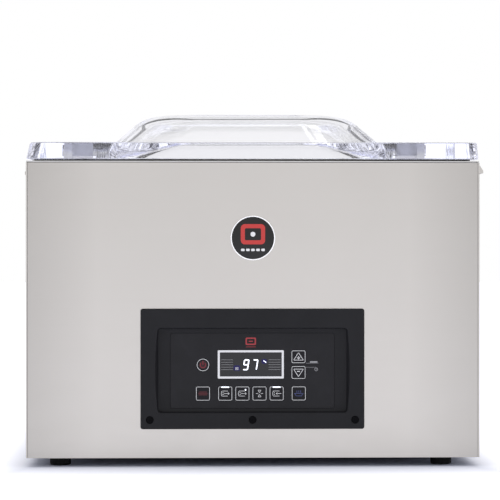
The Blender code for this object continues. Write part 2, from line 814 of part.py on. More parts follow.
def counter_bar():
    half_x = 0.2100
    half_y = 0.0060
    top = LID_BOTTOM - GAP
    holder = piece("counter_bar_holder", "aluminium", box_mesh(
        (-half_x, SEAL_BAR_Y - half_y, 0.3205), (half_x, SEAL_BAR_Y + half_y, top),
    ))
    bevel(holder, 0.0008, 1)
    silicone = piece("counter_bar_silicone", "silicone", box_mesh(
        (-half_x, SEAL_BAR_Y - 0.0045, 0.3162), (half_x, SEAL_BAR_Y + 0.0045, 0.3202),
    ))
    bevel(silicone, 0.0008, 1)
    return [holder, silicone]


def span(side, limits):
    """Limits across the width, mirrored for the left-hand side."""
    return sorted(side * limit for limit in limits)


def slab_rear(z):
    """How far back the slab's sloping rear edge reaches at a height."""
    return CHAMBER_Y + LID_HALF_Y - LID_DRAFT * (z - LID_BOTTOM) / (LID_TOP - LID_BOTTOM)


def hinge_arm(name, side):
    """A leaf on the lid's rear edge, with the barrel that turns on the shaft."""
    low = HINGE_Z - LEAF_HALF_Z
    high = HINGE_Z + LEAF_HALF_Z
    reach = math.degrees(math.asin(LEAF_HALF_Z / BARREL_RADIUS))
    outline = [(slab_rear(high) + GAP, high), (slab_rear(low) + GAP, low)]
    outline += arc((HINGE_Y, HINGE_Z), BARREL_RADIUS, reach - 180, 180 - reach, 16)
    hole = circle((HINGE_Y, HINGE_Z), SHAFT_RADIUS + GAP)
    return piece(name, "cast_grey", flat_mesh("side", *span(side, ARM), outline, hole))


def hinge_block(name, side):
    """Bolted to the rear panel, with two ears that carry the shaft on either side of the arm and spring."""
    plate_front = REAR_Y + GAP
    outline = [
        (plate_front, 0.292),
        (DEPTH_END_Y, 0.292),
        (DEPTH_END_Y, HINGE_Z + EAR_RADIUS - 0.0030),
        (DEPTH_END_Y - 0.0030, HINGE_Z + EAR_RADIUS),
    ]
    outline += arc((HINGE_Y, HINGE_Z), EAR_RADIUS, 90, 180, 6)
    outline += [(HINGE_Y - EAR_RADIUS, BODY_TOP + GAP), (plate_front, BODY_TOP + GAP)]
    hole = circle((HINGE_Y, HINGE_Z), SHAFT_RADIUS + GAP)
    low, high = span(side, (INNER_EAR[0] + 0.002, OUTER_EAR[1] - 0.002))
    block = piece(name, "cast_grey", flat_mesh("side", *span(side, INNER_EAR), outline, hole))
    add(block, box_mesh((low, REAR_Y + 0.0010, 0.294), (high, DEPTH_END_Y - 0.0006, 0.340)))
    return add(block, flat_mesh("side", *span(side, OUTER_EAR), outline, hole))


def hinge_shaft():
    """The shaft across both hinges. It turns with the lid."""
    return piece("hinge_shaft", "bright_steel", rod_mesh(
        "x", (0.0, HINGE_Y, HINGE_Z), SHAFT_RADIUS, 2 * (OUTER_EAR[1] + 0.002),
    ))


def hinge_spring(name, side):
    """A torsion spring around the shaft. One leg stands on the deck and the other end lies at the arm."""
    steps = 16
    low, high = SPRING
    low += SPRING_WIRE
    high -= SPRING_WIRE
    route = [(low, SPRING_RADIUS, BODY_TOP + 0.0006 - HINGE_Z)]
    for step in range(steps * SPRING_TURNS + 1):
        angle = 2 * math.pi * step / steps
        x = low + (high - low) * step / (steps * SPRING_TURNS)
        route.append((x, SPRING_RADIUS * math.cos(angle), SPRING_RADIUS * math.sin(angle)))
    points = [(side * x, HINGE_Y + y, HINGE_Z + z) for x, y, z in route]
    return wire(name, "bright_steel", points, SPRING_WIRE, 1)


# Chamber fittings -------------------------------------------------------------------------------

def seal_bar():
    """Aluminium bar with its heating strip, on two pistons."""
    low = (-SEAL_BAR_HALF_X, SEAL_BAR_Y - SEAL_BAR_HALF_Y, SEAL_BAR_BOTTOM)
    high = (SEAL_BAR_HALF_X, SEAL_BAR_Y + SEAL_BAR_HALF_Y, SEAL_BAR_TOP)
    bar = bevel(piece("seal_bar", "aluminium", box_mesh(low, high)), 0.001, 1)
    strip = bevel(piece("seal_strip", "ptfe_tape", box_mesh(
        (-SEAL_BAR_HALF_X + 0.001, SEAL_BAR_Y - 0.0055, SEAL_BAR_TOP + GAP),
        (SEAL_BAR_HALF_X - 0.001, SEAL_BAR_Y + 0.0055, SEAL_BAR_TOP + 0.0010),
    )), 0.0003, 1)
    moving = [bar, strip]
    for side, x in (("left", -SEAL_LEG_X), ("right", SEAL_LEG_X)):
        low_z = 0.232
        high_z = SEAL_BAR_BOTTOM - GAP
        moving.append(piece(f"seal_piston_{side}", "bright_steel", rod_mesh(
            "z", (x, SEAL_BAR_Y, (low_z + high_z) / 2), PISTON_RADIUS, high_z - low_z,
        )))
        base = CHAMBER_FLOOR + GAP
        top = 0.262
        cylinder = piece(f"seal_cylinder_{side}", "white_plastic", rod_mesh(
            "z", (x, SEAL_BAR_Y, (base + top) / 2), 0.0112, top - base,
        ))
        add(cylinder, box_mesh(
            (x - 0.020, SEAL_BAR_Y - 0.0095, base),
            (x + 0.020, SEAL_BAR_Y + 0.0125, base + 0.005),
        ))
        cut(cylinder, rod_mesh("z", (x, SEAL_BAR_Y, 0.2505), PISTON_RADIUS + GAP, 0.045))
    pivot("seal_bar_axis", (0.0, SEAL_BAR_Y, SEAL_BAR_BOTTOM), moving)


def filler_plate():
    low_y = SEAL_BAR_Y + 0.018
    high_y = CHAMBER_Y + CHAMBER_HALF_Y - CHAMBER_FILLET
    half_x = CHAMBER_HALF_X - CHAMBER_FILLET
    outline = rounded_rectangle((-half_x, low_y), (half_x, high_y), 0.020)
    middle_y = (low_y + high_y) / 2
    holes = [circle((x, middle_y), 0.014) for x in (-0.150, 0.150)]
    base = CHAMBER_FLOOR + GAP
    return piece("filler_plate", "white_plastic", flat_mesh("top", base, base + 0.012, outline, *holes))


def suction_cover():
    """A folded cover in front of the suction port, open above and below."""
    wall = CHAMBER_Y + CHAMBER_HALF_Y - GAP
    deep = 0.006
    sheet = 0.0015
    half = 0.028
    outline = [
        (VALVE_X - half, wall - deep),
        (VALVE_X + half, wall - deep),
        (VALVE_X + half, wall),
        (VALVE_X + half - sheet, wall),
        (VALVE_X + half - sheet, wall - deep + sheet),
        (VALVE_X - half + sheet, wall - deep + sheet),
        (VALVE_X - half + sheet, wall),
        (VALVE_X - half, wall),
    ]
    return piece("suction_cover", "steel", flat_mesh("top", SUCTION_Z - 0.016, SUCTION_Z + 0.016, outline))


# Vacuum system and electrics --------------------------------------------------------------------

def pump():
    """The pump's cast housing, hollow and open below, with its sight glass and exhaust filter."""
    left = 0.0
    right = 0.150
    wall = 0.010
    body = piece("pump_body", "painted_iron", box_mesh((left, -0.070, 0.028), (right, 0.070, 0.150)))
    bevel(body, 0.006, 2)
    add(body, together(
        box_mesh((left + 0.010, -0.080, TRAY_FLOOR), (left + 0.030, 0.080, 0.034)),
        box_mesh((right - 0.030, -0.080, TRAY_FLOOR), (right - 0.010, 0.080, 0.034)),
        box_mesh((left + 0.040, -0.050, 0.140), (right - 0.012, 0.050, 0.182)),
        rod_mesh("y", (VALVE_X, 0.075, 0.130), 0.012, 0.040, 20),
    ))
    cut(body, rod_mesh("y", (VALVE_X, 0.090, 0.130), 0.0070, 0.030, 16))
    cut(body, box_mesh((left + 0.034, -0.070 + wall, 0.020), (right - 0.034, 0.070 - wall, 0.130)))
    cut(body, box_mesh((left + 0.048, -0.042, 0.125), (right - 0.034, 0.042, 0.174)))
    piece("pump_sight_glass", "clear_acrylic", rod_mesh("x", (right + 0.0033, 0.0, 0.070), 0.012, 0.006))
    filter_x = 0.105
    filter_y = 0.1075
    filter_z = 0.075
    exhaust = piece("exhaust_filter", "painted_iron", rod_mesh(
        "x", (filter_x, filter_y, filter_z), 0.030, 0.090,
    ))
    bevel(exhaust, 0.003, 2)
    add(exhaust, rod_mesh("z", (filter_x, filter_y, filter_z + 0.035), 0.008, 0.030, 16))
    cut(exhaust, rod_mesh("x", (filter_x - 0.003, filter_y, filter_z), 0.026, 0.088))


def motor():
    """A finned motor shell around the rotor's shaft, and the fan under its cowl."""
    right = -GAP
    left = -0.125
    shell = piece("pump_motor", "painted_iron", rod_mesh(
        "x", ((left + right) / 2, 0.0, PUMP_Z), MOTOR_RADIUS, right - left,
    ))
    fins = []
    fin_count = 6
    for number in range(fin_count):
        x = left + 0.010 + number * (right - left - 0.020) / (fin_count - 1)
        fins.append(rod_mesh("x", (x, 0.0, PUMP_Z), MOTOR_RADIUS + 0.004, 0.0025))
    add(shell, together(*fins))
    add(shell, box_mesh((left + 0.020, -0.050, TRAY_FLOOR), (right - 0.020, 0.050, PUMP_Z - 0.050)))
    cut(shell, rod_mesh("x", (left, 0.0, PUMP_Z), 0.046, 0.200))
    cowl_left = -0.185
    cowl_right = left - GAP
    cowl = piece("pump_fan_cowl", "black_plastic", rod_mesh(
        "x", ((cowl_left + cowl_right) / 2, 0.0, PUMP_Z), 0.064, cowl_right - cowl_left, 32,
    ))
    hollow_left = cowl_left + 0.002
    hollow_right = left + 0.010
    hollow_centre = ((hollow_left + hollow_right) / 2, 0.0, PUMP_Z)
    cut(cowl, rod_mesh("x", hollow_centre, 0.062, hollow_right - hollow_left, 32))
    cut(cowl, rod_mesh("x", (cowl_left, 0.0, PUMP_Z), 0.028, 0.02, 24))
    rotor_x = -0.155
    rotor = piece("pump_rotor", "aluminium", rod_mesh(
        "x", (-0.125, 0.0, PUMP_Z), 0.006, 0.070, 20,
    ), origin=(rotor_x, 0.0, PUMP_Z))
    add(rotor, rod_mesh("x", (rotor_x + 0.010, 0.0, PUMP_Z), 0.052, 0.003, 32))
    blades = []
    blade_count = 8
    for number in range(blade_count):
        blade = box_mesh((-0.010, 0.018, -0.001), (0.009, 0.051, 0.001))
        blade.transform(Matrix.Rotation(2 * math.pi * number / blade_count, 4, "X"))
        blades.append(blade)
    wheel = together(*blades)
    wheel.transform(Matrix.Translation((rotor_x, 0.0, PUMP_Z)))
    add(rotor, wheel)


def transformer():
    low_z = TRAY_FLOOR
    core = piece("seal_transformer", "painted_iron", box_mesh(
        (-0.195, -0.205, low_z), (-0.125, -0.125, 0.080),
    ))
    return add(core, together(
        box_mesh((-0.187, -0.220, 0.022), (-0.133, -0.110, 0.068)),
        box_mesh((-0.205, -0.195, low_z), (-0.115, -0.135, 0.014)),
    ))


def valve_and_hose():
    """Solenoid valve on the tub's rear wall, and the rigid suction hose from it to the pump."""
    front = CHAMBER_Y + CHAMBER_HALF_Y + SHEET + GAP
    rear = front + 0.026
    valve = piece("vacuum_valve", "brass", box_mesh(
        (VALVE_X - 0.020, front, SUCTION_Z - 0.018), (VALVE_X + 0.020, rear, SUCTION_Z + 0.018),
    ))
    add(valve, rod_mesh("x", (VALVE_X + 0.035, (front + rear) / 2, SUCTION_Z), 0.0115, 0.036, 20))
    add(valve, rod_mesh("z", (VALVE_X, (front + rear) / 2, SUCTION_Z - 0.022), 0.010, 0.016, 20))
    hose_y = (front + rear) / 2
    bend = 0.060
    corner = Vector((VALVE_X, hose_y, 0.130))
    route = [Vector((VALVE_X, hose_y, SUCTION_Z - 0.030 - GAP))]
    steps = 10
    for step in range(steps + 1):
        angle = math.radians(90 * step / steps)
        route.append(corner + Vector((0.0, -bend * (1 - math.cos(angle)), bend * (1 - math.sin(angle)))))
    route.append(Vector((VALVE_X, 0.095 + GAP, 0.130)))
    wire("vacuum_hose", "rubber", route, 0.0095, 2)


def power_inlet():
    outside = REAR_Y + GAP
    inlet = piece("power_inlet", "black_plastic", flat_mesh(
        "front", outside, outside + 0.003, rounded_rectangle(
            (INLET_X - 0.025, CONNECTION_Z - 0.014), (INLET_X + 0.025, CONNECTION_Z + 0.014), 0.004, 3,
        ),
    ))
    add(inlet, box_mesh(
        (INLET_X - 0.0146, 0.236, CONNECTION_Z - 0.0106),
        (INLET_X + 0.0146, outside + 0.001, CONNECTION_Z + 0.0106),
    ))
    cut(inlet, box_mesh(
        (INLET_X - 0.0130, 0.242, CONNECTION_Z - 0.0090),
        (INLET_X + 0.0130, outside + 0.005, CONNECTION_Z + 0.0090),
    ))
    pins = []
    for x, z in ((-0.007, 0.0035), (0.0, 0.0005), (0.007, 0.0035)):
        pin_x = INLET_X + x
        pin_z = CONNECTION_Z + z
        pins.append(box_mesh((pin_x - 0.001, 0.240, pin_z - 0.002), (pin_x + 0.001, 0.2565, pin_z + 0.002)))
    return add(inlet, together(*pins))


def mains_switch():
    outside = REAR_Y + GAP
    frame = piece("switch_frame", "black_plastic", flat_mesh(
        "front", outside, outside + 0.002, rounded_rectangle(
            (SWITCH_X - 0.0130, CONNECTION_Z - 0.0165), (SWITCH_X + 0.0130, CONNECTION_Z + 0.0165), 0.002, 3,
        ),
    ))
    add(frame, box_mesh(
        (SWITCH_X - 0.0105, 0.236, CONNECTION_Z - 0.0140),
        (SWITCH_X + 0.0105, outside + 0.001, CONNECTION_Z + 0.0140),
    ))
    cut(frame, box_mesh(
        (SWITCH_X - 0.0085, 0.240, CONNECTION_Z - 0.0125),
        (SWITCH_X + 0.0085, outside + 0.005, CONNECTION_Z + 0.0125),
    ))
    half_profile = [(0.0045, 0.0), (0.0058, 0.0103), (-0.0050, 0.0095)]
    outline = half_profile + [(-0.0070, 0.0)] + [(y, -z) for y, z in reversed(half_profile[1:])]
    tilted = flat_mesh("side", SWITCH_X - 0.0082, SWITCH_X + 0.0082, outline)
    tilted.transform(Matrix.Rotation(math.radians(ROCKER_TILT), 4, "X"))
    tilted.transform(Matrix.Translation((0.0, ROCKER_Y, CONNECTION_Z)))
    piece("mains_rocker", "black_plastic", tilted, origin=(SWITCH_X, ROCKER_Y, CONNECTION_Z))


def gas_inlet():
    """Hose barb for flushing gas, through the rear panel."""
    outside = REAR_Y + GAP
    flange = rod_mesh("y", (GAS_INLET_X, outside + 0.001, CONNECTION_Z), 0.0085, 0.002, 6)
    barb = piece("gas_inlet", "brass", flange)
    add(barb, rod_mesh("y", (GAS_INLET_X, 0.2485, CONNECTION_Z), 0.0060, 0.022, 20))
    add(barb, rod_mesh("y", (GAS_INLET_X, DEPTH_END_Y - 0.0025, CONNECTION_Z), 0.0045, 0.004, 20, 0.0035))
    return cut(barb, rod_mesh("y", (GAS_INLET_X, 0.255, CONNECTION_Z), 0.0022, 0.05, 12))


def build():
    base_tray()
    feet()
    front_panel()
    side_panel("left_side_panel", -1, -0.180, 8)
    side_panel("right_side_panel", 1, -0.242, 9)
    rear_panel()
    chamber_tub()
    badge_disc()
    control_bezel()
    bezel_screws()
    keypad()
    control_board()
    lid = [lid_shell(), lid_gasket(), *counter_bar(), hinge_shaft()]
    for side, way in (("left", -1), ("right", 1)):
        lid.append(hinge_arm(f"hinge_arm_{side}", way))
        hinge_block(f"hinge_block_{side}", way)
        hinge_spring(f"hinge_spring_{side}", way)
    pivot("lid_hinge_axis", (0.0, HINGE_Y, HINGE_Z), lid)
    seal_bar()
    filler_plate()
    suction_cover()
    pump()
    motor()
    transformer()
    valve_and_hose()
    power_inlet()
    mains_switch()
    gas_inlet()


build()
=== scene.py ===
import json
import math

import bmesh
import bpy
from mathutils import Matrix, Vector

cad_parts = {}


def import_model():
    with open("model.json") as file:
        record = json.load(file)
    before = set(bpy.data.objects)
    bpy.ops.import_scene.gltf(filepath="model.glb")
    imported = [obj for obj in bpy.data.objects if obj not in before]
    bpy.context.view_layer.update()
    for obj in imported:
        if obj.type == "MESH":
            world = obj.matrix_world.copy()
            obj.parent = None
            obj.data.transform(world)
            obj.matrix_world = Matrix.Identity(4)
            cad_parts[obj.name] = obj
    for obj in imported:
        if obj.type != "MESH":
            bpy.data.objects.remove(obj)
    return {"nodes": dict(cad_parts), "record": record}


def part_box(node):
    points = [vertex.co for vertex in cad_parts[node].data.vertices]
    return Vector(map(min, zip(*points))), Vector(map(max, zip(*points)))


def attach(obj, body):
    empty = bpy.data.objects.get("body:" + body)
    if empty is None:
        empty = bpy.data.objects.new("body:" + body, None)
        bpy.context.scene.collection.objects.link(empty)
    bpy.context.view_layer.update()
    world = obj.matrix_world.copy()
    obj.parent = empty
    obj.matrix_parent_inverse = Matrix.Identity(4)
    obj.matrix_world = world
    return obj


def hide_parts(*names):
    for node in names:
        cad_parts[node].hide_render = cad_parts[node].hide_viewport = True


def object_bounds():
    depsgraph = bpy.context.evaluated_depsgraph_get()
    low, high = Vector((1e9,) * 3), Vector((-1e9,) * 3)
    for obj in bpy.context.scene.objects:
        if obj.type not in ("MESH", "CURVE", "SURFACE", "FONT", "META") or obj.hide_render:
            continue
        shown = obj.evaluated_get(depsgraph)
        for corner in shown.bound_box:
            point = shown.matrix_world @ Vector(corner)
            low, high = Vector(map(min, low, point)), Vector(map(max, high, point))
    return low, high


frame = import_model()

CAD_LOW, CAD_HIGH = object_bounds()
SCENE = bpy.context.scene

# Camera: its distance in front of the front face, and the width of the view there
CAMERA_DISTANCE = 2.5
CAMERA_X = -0.075
CAMERA_Z = 0.231
VIEW_WIDTH = 0.5327
VIEW_CENTRE_X = -0.0035
SENSOR = 36.0

# Thickness of a printed mark, and how far it stands off the surface under it
INK = 0.00006
INK_GAP = 0.00002

NODE_BODY = {
    node: body
    for body, nodes in frame["record"]["behaviour"]["bodies"].items()
    for node in nodes
}
NODE_SLOT = {part["node"]: part["material_slot"] for part in frame["record"]["subparts"]}


# Node trees -----------------------------------------------

# Places of the colour sockets on a Mix node
COLOR_A = 6
COLOR_B = 7
COLOR_RESULT = 2


class Graph:
    """The node tree of a material or of the world, with short calls for the nodes used here."""

    def __init__(self, node_tree):
        self.nodes = node_tree.nodes
        self.links = node_tree.links

    def feed(self, target, value):
        """Links an output to a socket, or sets the socket to a number or a colour."""
        if isinstance(value, bpy.types.NodeSocket):
            self.links.new(value, target)
        elif target.type == "RGBA":
            target.default_value = (*value, 1.0)
        else:
            target.default_value = value

    def axes(self, vector):
        """The X, Y and Z parts of a vector."""
        node = self.nodes.new("ShaderNodeSeparateXYZ")
        self.links.new(vector, node.inputs["Vector"])
        return tuple(node.outputs[axis] for axis in "XYZ")

    def position(self, scale=(1.0, 1.0, 1.0)):
        """Object coordinates, in metres, stretched."""
        source = self.nodes.new("ShaderNodeTexCoord")
        mapping = self.nodes.new("ShaderNodeMapping")
        mapping.inputs["Scale"].default_value = scale
        self.links.new(source.outputs["Object"], mapping.inputs["Vector"])
        return mapping.outputs["Vector"]

    def noise(self, vector, scale, detail=3.0, rough=0.5, distortion=0.0):
        node = self.nodes.new("ShaderNodeTexNoise")
        node.inputs["Scale"].default_value = scale
        node.inputs["Detail"].default_value = detail
        node.inputs["Roughness"].default_value = rough
        node.inputs["Distortion"].default_value = distortion
        self.links.new(vector, node.inputs["Vector"])
        return node.outputs["Fac"]

    def voronoi(self, vector, scale):
        node = self.nodes.new("ShaderNodeTexVoronoi")
        node.inputs["Scale"].default_value = scale
        self.links.new(vector, node.inputs["Vector"])
        return node.outputs["Distance"]

    def wave(self, vector, scale, direction):
        node = self.nodes.new("ShaderNodeTexWave")
        node.bands_direction = direction
        node.inputs["Scale"].default_value = scale
        self.links.new(vector, node.inputs["Vector"])
        return node.outputs["Fac"]

    def spread(self, value, low, high, start=0.0, end=1.0):
        """Maps start..end to low..high, and holds it there."""
        node = self.nodes.new("ShaderNodeMapRange")
        node.inputs["From Min"].default_value = start
        node.inputs["From Max"].default_value = end
        node.inputs["To Min"].default_value = low
        node.inputs["To Max"].default_value = high
        self.links.new(value, node.inputs["Value"])
        return node.outputs["Result"]

    def calculate(self, operation, *values):
        node = self.nodes.new("ShaderNodeMath")
        node.operation = operation
        for socket, value in zip(node.inputs, values):
            self.feed(socket, value)
        return node.outputs["Value"]

    def sum(self, first, second):
        return self.calculate("ADD", first, second)

    def mix(self, share, first, second):
        """A colour between two colours."""
        node = self.nodes.new("ShaderNodeMix")
        node.data_type = "RGBA"
        self.links.new(share, node.inputs["Factor"])
        self.feed(node.inputs[COLOR_A], first)
        self.feed(node.inputs[COLOR_B], second)
        return node.outputs[COLOR_RESULT]

    def ramp(self, value, stops, tint=(1.0, 1.0, 1.0)):
        """Brightness by stops of position and level. Every stop is made before any is set."""
        node = self.nodes.new("ShaderNodeValToRGB")
        self.links.new(value, node.inputs["Fac"])
        elements = node.color_ramp.elements
        for position, _ in stops[1:-1]:
            elements.new(position)
        for element, (position, level) in zip(elements, stops):
            element.position = position
            element.color = (*(level * part for part in tint), 1.0)
        return node.outputs["Color"]

    def bump(self, height, distance, strength):
        node = self.nodes.new("ShaderNodeBump")
        node.inputs["Distance"].default_value = distance
        node.inputs["Strength"].default_value = strength
        self.links.new(height, node.inputs["Height"])
        return node.outputs["Normal"]

    def edges(self, radius):
        """1 on convex and concave edges, 0 on flat ground."""
        bevel = self.nodes.new("ShaderNodeBevel")
        bevel.samples = 4
        bevel.inputs["Radius"].default_value = radius
        geometry = self.nodes.new("ShaderNodeNewGeometry")
        product = self.nodes.new("ShaderNodeVectorMath")
        product.operation = "DOT_PRODUCT"
        self.links.new(bevel.outputs["Normal"], product.inputs[0])
        self.links.new(geometry.outputs["Normal"], product.inputs[1])
        return self.spread(product.outputs["Value"], 1.0, 0.0, 0.85, 0.995)


class Tree(Graph):
    """A material built round its Principled shader."""

    def __init__(self, name, **sockets):
        self.material = bpy.data.materials.new(name)
        self.material.use_nodes = True
        super().__init__(self.material.node_tree)
        self.shader = self.nodes["Principled BSDF"]
        for socket, value in sockets.items():
            self.set(socket, value)

    def set(self, socket, value):
        """Feeds a shader socket, named as in metallic or base_color."""
        special = {"ior": "IOR", "specular": "Specular IOR Level"}
        self.feed(self.shader.inputs[special.get(socket, socket.replace("_", " ").title())], value)


# Materials ------------------------------------------------

# Painted shade on the front sheet: its colour darkens over this width towards its side folds, to this share
# of its brightness, and the edge of the darker part wanders this far
PAINTED_SHADE_WIDTH = 0.075
PAINTED_SHADE_LEVEL = 0.82
PAINTED_SHADE_WANDER = 0.006


def stretched(axis, along, across):
    """Scale of a texture that is drawn out along one axis."""
    return tuple(along if letter == axis else across for letter in "xyz")


def scaled(color, factor, lift=0.0):
    return tuple(part * factor + lift for part in color)


def brushed_steel(name, grain_axis, color, roughness, marks=0.5, painted_shade_x=None):
    """Sheet with a fine directional grain, faint cloudy patches and wiped finger marks.

    Given the x of its side folds, the sheet gets painted shade: its colour darkens towards the folds, fully
    at that distance from the middle.
    """
    tree = Tree(name, metallic=1.0)
    grain = tree.noise(tree.position(stretched(grain_axis, 5.0, 1400.0)), 1.0, 4.0, 0.7)
    streaks = tree.noise(tree.position(stretched(grain_axis, 1.6, 260.0)), 1.0, 2.0, 0.5)
    clouds = tree.noise(tree.position(), 5.0, 3.0, 0.55, 0.4)
    wiped = tree.noise(tree.position((9.0, 9.0, 22.0)), 1.0, 4.0, 0.6, 1.2)
    lines = tree.sum(
        tree.spread(grain, -0.035, 0.035, 0.25, 0.75),
        tree.spread(streaks, -0.02, 0.02, 0.3, 0.7),
    )
    share = tree.sum(lines, tree.spread(clouds, 0.38, 0.62, 0.3, 0.7))
    dark = scaled(color, 0.93)
    light = scaled(color, 1.06)
    tone = tree.mix(share, dark, light)
    # Painted shade: the colour darkens by position towards the side folds
    if painted_shade_x:
        reach = tree.calculate("ABSOLUTE", tree.axes(tree.position())[0])
        edge = tree.sum(reach, tree.spread(clouds, -PAINTED_SHADE_WANDER, PAINTED_SHADE_WANDER))
        painted_shade_share = tree.spread(edge, 0.0, 1.0, painted_shade_x - PAINTED_SHADE_WIDTH, painted_shade_x)
        painted_shade_tone = tree.mix(share, scaled(dark, PAINTED_SHADE_LEVEL), scaled(light, PAINTED_SHADE_LEVEL))
        tone = tree.mix(painted_shade_share, tone, painted_shade_tone)
    tree.set("base_color", tone)
    tree.set("roughness", tree.sum(
        tree.spread(grain, roughness - 0.05, roughness + 0.06, 0.2, 0.8),
        tree.spread(wiped, -0.05 * marks, 0.06 * marks, 0.35, 0.7),
    ))
    tree.set("normal", tree.bump(grain, 0.000012, 0.35))
    return tree.material


def plain_metal(name, color, roughness, scratch=0.3):
    """Machined or plated metal: fine scratches in all directions and a little tarnish."""
    tree = Tree(name, metallic=1.0)
    fine = tree.noise(tree.position(), 720.0, 4.0, 0.7, 2.0)
    patches = tree.noise(tree.position(), 60.0, 3.0, 0.55, 0.5)
    tree.set("base_color", tree.mix(
        tree.spread(patches, 0.0, 1.0, 0.3, 0.7), scaled(color, 0.86), color,
    ))
    tree.set("roughness", tree.sum(
        tree.spread(fine, roughness - 0.04, roughness + 0.10, 0.3, 0.75),
        tree.spread(patches, 0.05, -0.03, 0.3, 0.7),
    ))
    tree.set("normal", tree.bump(fine, 0.00001, scratch))
    return tree.material


def moulded_plastic(name, color, roughness, specular):
    """Moulded plastic with a spark-eroded texture, worn smoother and paler on its edges."""
    tree = Tree(name, specular=specular)
    spots = tree.voronoi(tree.position(), 2600.0)
    fine = tree.noise(tree.position(), 1820.0, 3.0, 0.6)
    dust = tree.noise(tree.position(), 22.0, 4.0, 0.6, 0.6)
    edge = tree.edges(0.0006)
    body = tree.mix(tree.spread(dust, 0.0, 1.0, 0.35, 0.75), color, scaled(color, 1.35, 0.001))
    tree.set("base_color", tree.mix(tree.spread(edge, 0.0, 0.4), body, scaled(color, 2.0, 0.006)))
    tree.set("roughness", tree.sum(
        tree.spread(dust, roughness - 0.04, roughness + 0.07, 0.3, 0.75),
        tree.spread(edge, 0.0, -0.08),
    ))
    relief = tree.calculate("MULTIPLY", spots, fine)
    tree.set("normal", tree.bump(relief, 0.00002, 0.5))
    return tree.material


def powder_coat(name, color, roughness):
    """Fine orange-peel paint on metal, rubbed pale on its edges."""
    tree = Tree(name, specular=0.35)
    peel = tree.noise(tree.position(), 900.0, 3.0, 0.5)
    patches = tree.noise(tree.position(), 45.0, 3.0, 0.6)
    edge = tree.edges(0.0008)
    tree.set("base_color", tree.mix(tree.spread(edge, 0.0, 0.5), color, scaled(color, 2.2, 0.02)))
    tree.set("roughness", tree.spread(patches, roughness - 0.05, roughness + 0.08, 0.3, 0.7))
    tree.set("normal", tree.bump(peel, 0.00006, 0.35))
    return tree.material


def moulded_rubber(name, color, roughness=0.78):
    """Matt rubber with a talc-like bloom in patches."""
    tree = Tree(name, specular=0.25)
    fine = tree.noise(tree.position(), 1800.0, 4.0, 0.7)
    bloom = tree.noise(tree.position(), 70.0, 4.0, 0.65, 0.8)
    tree.set("base_color", tree.mix(
        tree.spread(bloom, 0.0, 0.6, 0.45, 0.8), color, scaled(color, 2.4, 0.01),
    ))
    tree.set("roughness", tree.spread(fine, roughness - 0.08, roughness + 0.08, 0.3, 0.7))
    tree.set("normal", tree.bump(fine, 0.00004, 0.5))
    return tree.material


ACRYLIC_IOR = 1.49
ACRYLIC_TINT = (0.45, 0.50, 0.95)
ACRYLIC_DENSITY = 0.42


def clear_acrylic():
    """Cast acrylic: a faint cool tint in its depth, and wiped hairline scratches."""
    tree = Tree(
        "clear_acrylic", base_color=(1.0, 1.0, 1.0), transmission_weight=1.0, ior=ACRYLIC_IOR, specular=0.5,
    )
    depth = tree.nodes.new("ShaderNodeVolumeAbsorption")
    depth.inputs["Color"].default_value = (*ACRYLIC_TINT, 1.0)
    depth.inputs["Density"].default_value = ACRYLIC_DENSITY
    tree.links.new(depth.outputs["Volume"], tree.nodes["Material Output"].inputs["Volume"])
    hairlines = tree.noise(tree.position((40.0, 700.0, 300.0)), 1.0, 4.0, 0.7, 1.5)
    smears = tree.noise(tree.position(), 14.0, 4.0, 0.6, 1.0)
    tree.set("roughness", tree.sum(
        tree.spread(hairlines, 0.0, 0.03, 0.6, 0.8),
        tree.spread(smears, 0.005, 0.03, 0.45, 0.75),
    ))
    tree.set("normal", tree.bump(hairlines, 0.000004, 0.12))
    return tree.material


def keypad_film(name, color):
    """Hard-coated polyester film with a very fine velvet grain."""
    tree = Tree(name, specular=0.20)
    velvet = tree.noise(tree.position(), 3600.0, 3.0, 0.7)
    touched = tree.noise(tree.position(), 46.0, 4.0, 0.6, 0.9)
    tree.set("base_color", tree.mix(
        tree.spread(touched, 0.0, 1.0, 0.35, 0.75), color, scaled(color, 1.25),
    ))
    tree.set("roughness", tree.spread(touched, 0.42, 0.31, 0.4, 0.75))
    tree.set("normal", tree.bump(velvet, 0.000012, 0.5))
    return tree.material


def ink(name, color, glow=0.0, roughness=0.45):
    """Screen-printed ink, a little uneven, or lit from behind when it glows."""
    tree = Tree(name, specular=0.3)
    grain = tree.noise(tree.position(), 2400.0, 3.0, 0.6)
    tree.set("base_color", tree.mix(
        tree.spread(grain, 0.0, 1.0, 0.3, 0.7), scaled(color, 0.86), color,
    ))
    tree.set("roughness", tree.spread(grain, roughness - 0.06, roughness + 0.06))
    tree.set("normal", tree.bump(grain, 0.00001, 0.3))
    if glow:
        tree.set("emission_color", color)
        tree.set("emission_strength", glow)
    return tree.material


def gloss_lacquer(name, color, roughness):
    """Domed resin or polished plastic, with dust and faint hairlines."""
    tree = Tree(name, specular=0.42)
    dust = tree.noise(tree.position(), 320.0, 5.0, 0.7)
    hairlines = tree.noise(tree.position((90.0, 90.0, 1500.0)), 1.0, 3.0, 0.6, 1.0)
    tree.set("base_color", tree.mix(
        tree.spread(dust, 0.0, 0.5, 0.6, 0.8), color, scaled(color, 1.6, 0.008),
    ))
    tree.set("roughness", tree.sum(
        tree.spread(dust, roughness - 0.03, roughness + 0.08, 0.3, 0.75),
        tree.spread(hairlines, 0.0, 0.03, 0.55, 0.8),
    ))
    tree.set("normal", tree.bump(dust, 0.000008, 0.2))
    return tree.material


